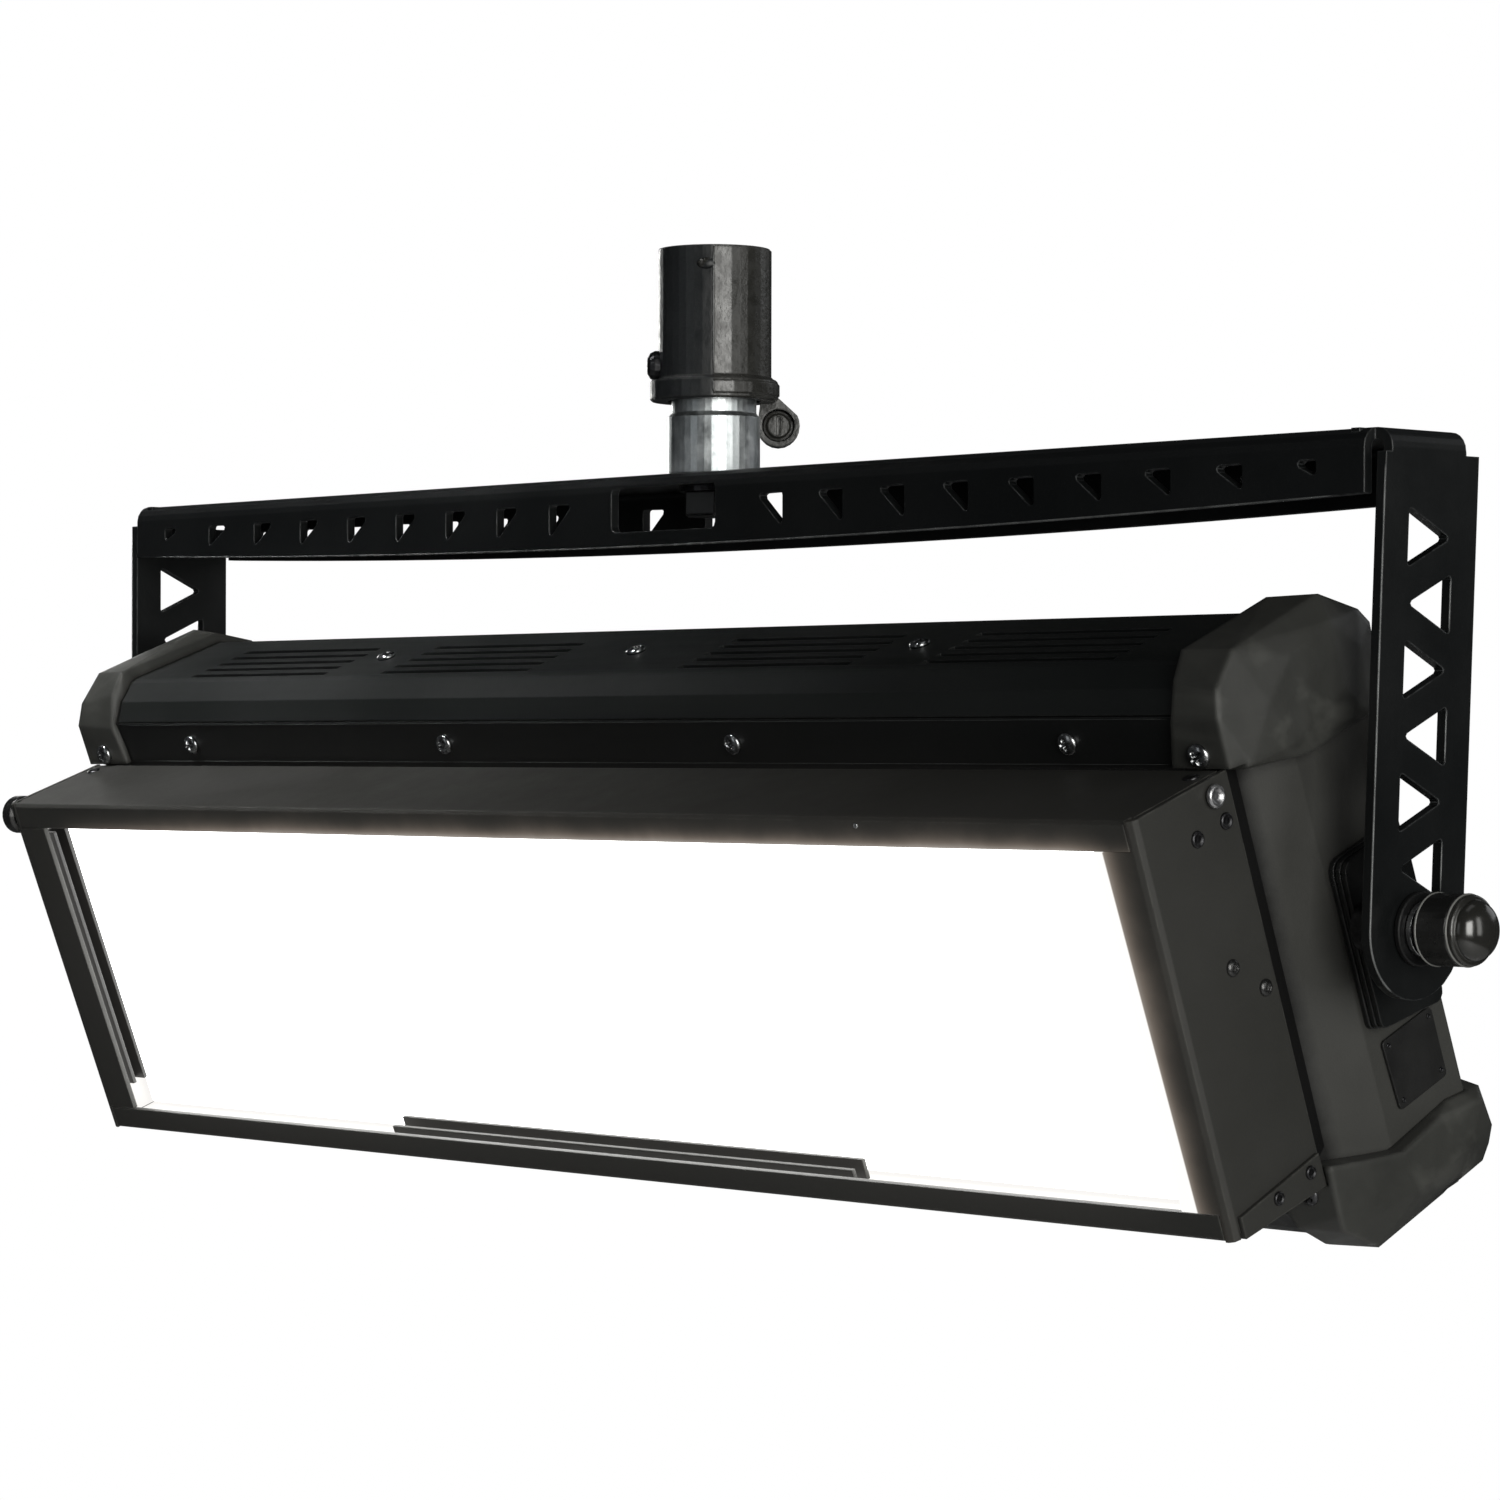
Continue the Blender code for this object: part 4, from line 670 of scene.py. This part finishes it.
def straight_bead(length, radius, seg=16, steps=24):
    """Rolled sheet edge: a slim rod along X with domed ends."""
    bm = bmesh.new()
    rings = []
    xs = [-length / 2 + length * i / steps for i in range(steps + 1)]
    for i, x in enumerate(xs):
        r = radius * (0.55 if i in (0, steps) else 1.0)
        rings.append([bm.verts.new((x, r * math.cos(2 * math.pi * q / seg), r * math.sin(2 * math.pi * q / seg))) for q in range(seg)])
        if i in (0, steps - 1):
            x2 = x + (0.35 if i == 0 else xs[1] - xs[0] - 0.35 * MM) * (MM if i == 0 else 1)
            rings.append([bm.verts.new((x2, radius * math.cos(2 * math.pi * q / seg), radius * math.sin(2 * math.pi * q / seg))) for q in range(seg)])
    for a, b in zip(rings, rings[1:]):
        for q in range(seg):
            bm.faces.new((a[q], a[(q + 1) % seg], b[(q + 1) % seg], b[q]))
    bm.faces.new(rings[0])
    bm.faces.new(rings[-1])
    bmesh.ops.recalc_face_normals(bm, faces=bm.faces)
    return bm


# Rolled edge of the flap's front lip, which catches the light of the sheet behind it; its warm light colour adds
# painted light from the sheet as well.
put("flap_hem", straight_bead(0.4955, 0.00070), HEM, HEAD @ Matrix.Translation((0, -0.0699, 0.0488)), "flap", 60)
put("lip_stud", rivet(0.8, 0.35), BRIGHT, on_head(LIP_STUD[0], 70.8, LIP_STUD[1], (0, 1, 0)), "flap")


def open_tube(points, radius, seg=8):
    """Fine rod along an open path (metres), drawn out to a point at both ends."""
    bm = bmesh.new()
    n = len(points)
    rings = []
    for i, p in enumerate(points):
        d = (points[min(i + 1, n - 1)] - points[max(i - 1, 0)]).normalized()
        a = d.orthogonal().normalized()
        b = d.cross(a).normalized()
        if rings:
            # keep the ring from turning against the one before
            want = keep_a - d * keep_a.dot(d)
            a = want.normalized()
            b = d.cross(a).normalized()
        keep_a = a
        r = radius * (0.15 if i in (0, n - 1) else 0.7 if i in (1, n - 2) else 1.0)
        rings.append([bm.verts.new(p + (a * math.cos(t) + b * math.sin(t)) * r) for t in (2 * math.pi * q / seg for q in range(seg))])
    for a, b in zip(rings, rings[1:]):
        for q in range(seg):
            bm.faces.new((a[q], a[(q + 1) % seg], b[(q + 1) % seg], b[q]))
    bm.faces.new(rings[0])
    bm.faces.new(rings[-1])
    bmesh.ops.recalc_face_normals(bm, faces=bm.faces)
    return bm


# Painted highlight lines along the yoke's outer arrises: light rods that stand in for the glint of those edges.
YOKE_TOP, LEG_HALF, PIVOT = 68.3, 18.8, -129.5


def on_yoke(x, y, z):
    return Vector((x, y, z - YOKE_TOP)) * MM


def leg_face(s, z):
    return s * (278.0 + (0.0404 if s > 0 else 0.0) * z)


for side, s in (("right", 1), ("left", -1)):
    path = []
    for k in range(30):
        z = -7.5 + (PIVOT + 7.5) * k / 29
        path.append(on_yoke(leg_face(s, z) - s * 0.13, -LEG_HALF + 0.13, z))
    for k in range(1, 17):
        a = math.pi * (1.0 + 0.34 * k / 16)
        z = PIVOT + (LEG_HALF - 0.13) * math.sin(a)
        path.append(on_yoke(leg_face(s, z) - s * 0.13, (LEG_HALF - 0.13) * math.cos(a), z))
    put(f"leg_line_{side}", open_tube(path, 0.00030), EDGE_HIGHLIGHT, Matrix.Identity(4), "yoke", 0)
    for i in (1, 3, 5):
        z0 = -28.1 - 17.15 * i
        path = [on_yoke(leg_face(s, z0 + v) - s * 0.08, 9.08, z0 + v) for v in (6.6, 5.8, 3.0, 0.0, -3.0, -5.8, -6.6)]
        put(f"hole_line_{side}_{i}", open_tube(path, 0.00024), EDGE_HIGHLIGHT, Matrix.Identity(4), "yoke", 0)
path = []
for k in range(61):
    x = -266.0 + 532.0 * k / 60
    path.append(on_yoke(x, -20.62, -21.9 * (1.0 - 0.226 * (x / 278.0) ** 2) + 0.13))
put("beam_line", open_tube(path, 0.00030), EDGE_HIGHLIGHT, Matrix.Identity(4), "yoke", 0)

# Fine edges of the front band: along its crease, and above the flap. Their lighter colour is a painted highlight on
# these edges.
for tag, u in (("crease", 69.7), ("foot", 57.1)):
    path = [Vector((-234.0 + 468.0 * k / 40, -31.26 - 0.03 * math.sin(k * 1.7), u + 0.03 * math.sin(k * 2.3))) * MM for k in range(41)]
    put(f"band_line_{tag}", open_tube(path, 0.00013), EDGE, HEAD, "head", 0)

# The parting line of the hanger socket, drawn as a light rod that is a painted highlight on its step, with the small
# stub of its gate near the top.
SEAM = math.radians(-42.9)
for tag, r, z0, z1 in (("sleeve", 17.36, 30.6, 67.3), ("collar", 19.86, 24.2, 27.4)):
    n = 14
    path = [on_yoke((r + 0.05 * math.sin(k * 2.1)) * math.cos(SEAM), (r + 0.05 * math.sin(k * 2.1)) * math.sin(SEAM), z0 + (z1 - z0) * k / n) for k in range(n + 1)]
    put(f"seam_{tag}", open_tube(path, 0.00026), EDGE_HIGHLIGHT, Matrix.Identity(4), "hanger", 0)
stub = lathe([(0.0, -0.0008), (0.0016, -0.0006), (0.0017, 0.0002), (0.0013, 0.0008), (0.0006, 0.0011), (0.0, 0.00115)], 22)
for v in stub.verts:
    v.co.y *= 1.7
    v.co.z += 0.0002 * noise.noise(v.co * 900.0)
a = math.radians(-50.0)
facing = Vector((math.cos(a), math.sin(a), 0.0))
put("gate_stub", stub, CASTING, Matrix.Translation(on_yoke(16.75 * math.cos(a), 16.75 * math.sin(a), 62.6)) @ facing.to_track_quat("Z", "Y").to_matrix().to_4x4() @ Matrix.Rotation(math.radians(90), 4, "Z"), "hanger", 0)


def strip(outline, u0, u1, lean, steps=10):
    """Long strip of a given outline (x, f in mm) that leans with the hood's sides."""
    bm = bmesh.new()
    rings = []
    for k in range(steps + 1):
        u = u0 + (u1 - u0) * k / steps
        dx = -lean * (56.6 - u)
        rings.append([bm.verts.new(((x + dx) * MM, -f * MM, u * MM)) for x, f in outline])
    for a, b in zip(rings, rings[1:]):
        for q in range(len(outline)):
            r = (q + 1) % len(outline)
            bm.faces.new((a[q], a[r], b[r], b[q]))
    bm.faces.new(rings[0])
    bm.faces.new(rings[-1])
    bmesh.ops.recalc_face_normals(bm, faces=bm.faces)
    return bm


# Black foam seals that close the step between the hood's sides and the end plates; their black also stands in for the
# shadow in that step.
for side, s in (("right", 1), ("left", -1)):
    outline = [(244.6, 33.0), (250.9, 33.0), (251.1, 32.6), (250.9, 32.0), (249.4, 29.2), (247.9, 26.3), (246.7, 24.2), (246.1, 23.5), (245.7, 23.5),
               (245.2, 25.4), (244.6, 28.6)]
    bm = strip([(s * x, f) for x, f in outline], -52.6, 55.6, s * 0.014)
    put(f"shadow_seal_{side}", bm, SEAL, HEAD, "head", 60)

# Foam strip over the light board's upper edge, which shows through the gap behind the flap.
bm = bmesh.new()
rings = []
for k in range(25):
    x = -233.5 + 467.0 * k / 24
    sag = 0.05 * math.sin(k * 1.3)
    rings.append([bm.verts.new((x * MM, -f * MM, (u + sag) * MM)) for f, u in
                  ((31.25, 45.25), (31.25, 46.3), (31.5, 46.5), (32.9, 46.5), (33.3, 46.25), (33.45, 45.8), (33.4, 44.2), (33.2, 44.1), (33.15, 45.25))])
for a, b in zip(rings, rings[1:]):
    for q in range(9):
        r = (q + 1) % 9
        bm.faces.new((a[q], a[r], b[r], b[q]))
bm.faces.new(rings[0])
bm.faces.new(rings[-1])
bmesh.ops.recalc_face_normals(bm, faces=bm.faces)
put("board_strip", bm, SEAL, HEAD, "head", 60)

# Smaller, cupped heads on the hinge pins.
for side, s in (("right", 1), ("left", -1)):
    prof = [(0.0, -8.4), (2.0, -8.4), (2.0, 0.5), (2.9, 0.5), (3.15, 0.7), (3.2, 1.0), (3.05, 1.5), (2.7, 1.85), (2.3, 1.95), (1.9, 1.8), (1.45, 1.35), (1.0, 1.15), (0.5, 1.2), (0.0, 1.25)]
    pin = lathe([(r * MM, h * MM) for r, h in prof], 40)
    o = put(f"hinge_pin_head_{side}", pin, PIN_STEEL, on_head(s * 252.0, 40.3, 52.0, (s, 0, 0)), "head", 40)
    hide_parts(f"hinge_pin_{side}")


# -------------------------------------------------------- camera, floor, light

def camera():
    f, psi, pit, rol, cx, cy, cz = 4643.24, 0.82841, 0.0012625, 0.0018094, 1044.2268, -942.9744, -84.9544
    fwd = Vector((-math.sin(psi) * math.cos(pit), math.cos(psi) * math.cos(pit), math.sin(pit)))
    r = Vector((math.cos(psi), math.sin(psi), 0))
    u = r.cross(fwd)
    rr = math.cos(rol) * r + math.sin(rol) * u
    uu = rr.cross(fwd)
    data = bpy.data.cameras.new("camera")
    data.sensor_width = 36
    data.lens = f / 1500 * 36
    data.clip_start = 0.05
    cam = bpy.data.objects.new("camera", data)
    scene.collection.objects.link(cam)
    cam.matrix_world = Matrix(((rr.x, uu.x, -fwd.x, cx / 1000), (rr.y, uu.y, -fwd.y, cy / 1000), (rr.z, uu.z, -fwd.z, (cz - 68.3) / 1000), (0, 0, 0, 1)))
    scene.camera = cam
    return cam, fwd, rr


CAM, FORWARD, RIGHT = camera()


def area(name, place, target, size, power, colour=(1, 1, 1), size_y=None, spread=180.0):
    data = bpy.data.lights.new(name, "AREA")
    data.shape = "RECTANGLE"
    data.size = size
    data.size_y = size_y or size
    data.energy = power
    data.color = colour
    data.spread = math.radians(spread)
    o = bpy.data.objects.new(name, data)
    scene.collection.objects.link(o)
    o.location = place
    o.rotation_mode = "QUATERNION"
    o.rotation_quaternion = (Vector(target) - Vector(place)).to_track_quat("-Z", "Y")
    return o


def direction(azimuth, elevation):
    """Azimuth 0 is in front of the object (-Y), 90 at its right end (+X)."""
    a, e = math.radians(azimuth), math.radians(elevation)
    return Vector((math.sin(a) * math.cos(e), -math.cos(a) * math.cos(e), math.sin(e)))


def lights():
    centre = Vector((0.0, 0.0, -0.15))
    left_end = Vector((-0.20, -0.06, -0.15))
    area("key", centre + direction(66, 6) * 2.2, centre, 1.0, 33, (1.0, 0.995, 0.96), 1.4)
    area("right", centre + direction(102, 8) * 2.2, centre, 0.5, 5, (1.0, 1.0, 0.97), 1.4)
    area("left", centre + direction(-4, 8) * 2.2, centre, 0.5, 1.6, (0.94, 0.98, 1.0), 1.4)
    area("left_high", centre + direction(-52, 26) * 1.8, centre, 0.5, 0.08, (0.96, 0.99, 1.0), 0.15)
    area("flap_left", left_end + direction(-15, 62) * 1.5, left_end, 0.25, 0.45, (1, 1, 1), 0.25, 20)
    area("back_left", Vector((-0.27, 0, -0.16)) + direction(-112, 8) * 1.7, Vector((-0.27, 0, -0.16)), 0.5, 0.22, (1.0, 1.0, 0.97), 0.6, 22)
    area("over", centre + direction(100, 74) * 1.8, centre, 1.1, 0.8, (1, 1, 1), 0.6)
    area("back", centre + direction(165, 20) * 2.2, centre, 1.2, 2.5, (0.96, 0.98, 1.0), 0.8)


lights()

world = bpy.data.worlds.new("studio")
scene.world = world
world.use_nodes = True
wt = world.node_tree
wt.nodes.clear()
w_out = wt.nodes.new("ShaderNodeOutputWorld")
w_mix = wt.nodes.new("ShaderNodeMixShader")
w_seen = wt.nodes.new("ShaderNodeBackground")
w_lit = wt.nodes.new("ShaderNodeBackground")
w_path = wt.nodes.new("ShaderNodeLightPath")
w_seen.inputs["Color"].default_value = (1, 1, 1, 1)
w_seen.inputs["Strength"].default_value = 1.0
w_lit.inputs["Color"].default_value = (0.92, 0.96, 1.0, 1)
w_lit.inputs["Strength"].default_value = 0.03
wt.links.new(w_path.outputs["Is Camera Ray"], w_mix.inputs[0])
wt.links.new(w_lit.outputs[0], w_mix.inputs[1])
wt.links.new(w_seen.outputs[0], w_mix.inputs[2])
wt.links.new(w_mix.outputs[0], w_out.inputs["Surface"])

floor_mesh = bmesh.new()
bmesh.ops.create_circle(floor_mesh, cap_ends=True, radius=1.6, segments=96)
mesh = bpy.data.meshes.new("floor")
floor_mesh.to_mesh(mesh)
floor_mesh.free()
F = Look("floor_pale")
F.bump(F.noise(60.0, 3.0), 0.0004)
mesh.materials.append(F.done(F.ramp(F.noise(3.0, 3.0), (0.3, (0.80, 0.80, 0.80)), (0.7, (0.84, 0.84, 0.84))), F.spread(F.noise(9.0), 0.55, 0.7)))
floor = bpy.data.objects.new("floor", mesh)
floor.location = (0, 0, -1.05)
scene.collection.objects.link(floor)
floor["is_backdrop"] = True

# A little halation round the lit sheet, as the lens gives it. Nothing else in the picture is bright enough to take part.
scene.use_nodes = True
ct = scene.node_tree
ct.nodes.clear()
c_in = ct.nodes.new("CompositorNodeRLayers")
c_out = ct.nodes.new("CompositorNodeComposite")
c_glare = ct.nodes.new("CompositorNodeGlare")
c_glare.glare_type = "BLOOM"
c_glare.quality = "HIGH"
for socket, value in (("Threshold", 1.6), ("Smoothness", 0.1), ("Strength", 0.02), ("Saturation", 1.0), ("Size", 0.22), ("Tint", (1.0, 0.93, 0.88, 1.0))):
    if socket in c_glare.inputs:
        c_glare.inputs[socket].default_value = value
ct.links.new(c_in.outputs["Image"], c_glare.inputs["Image"])
ct.links.new(c_glare.outputs["Image"], c_out.inputs["Image"])

scene.view_settings.view_transform = "Standard"
scene.view_settings.look = "None"

lo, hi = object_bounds()
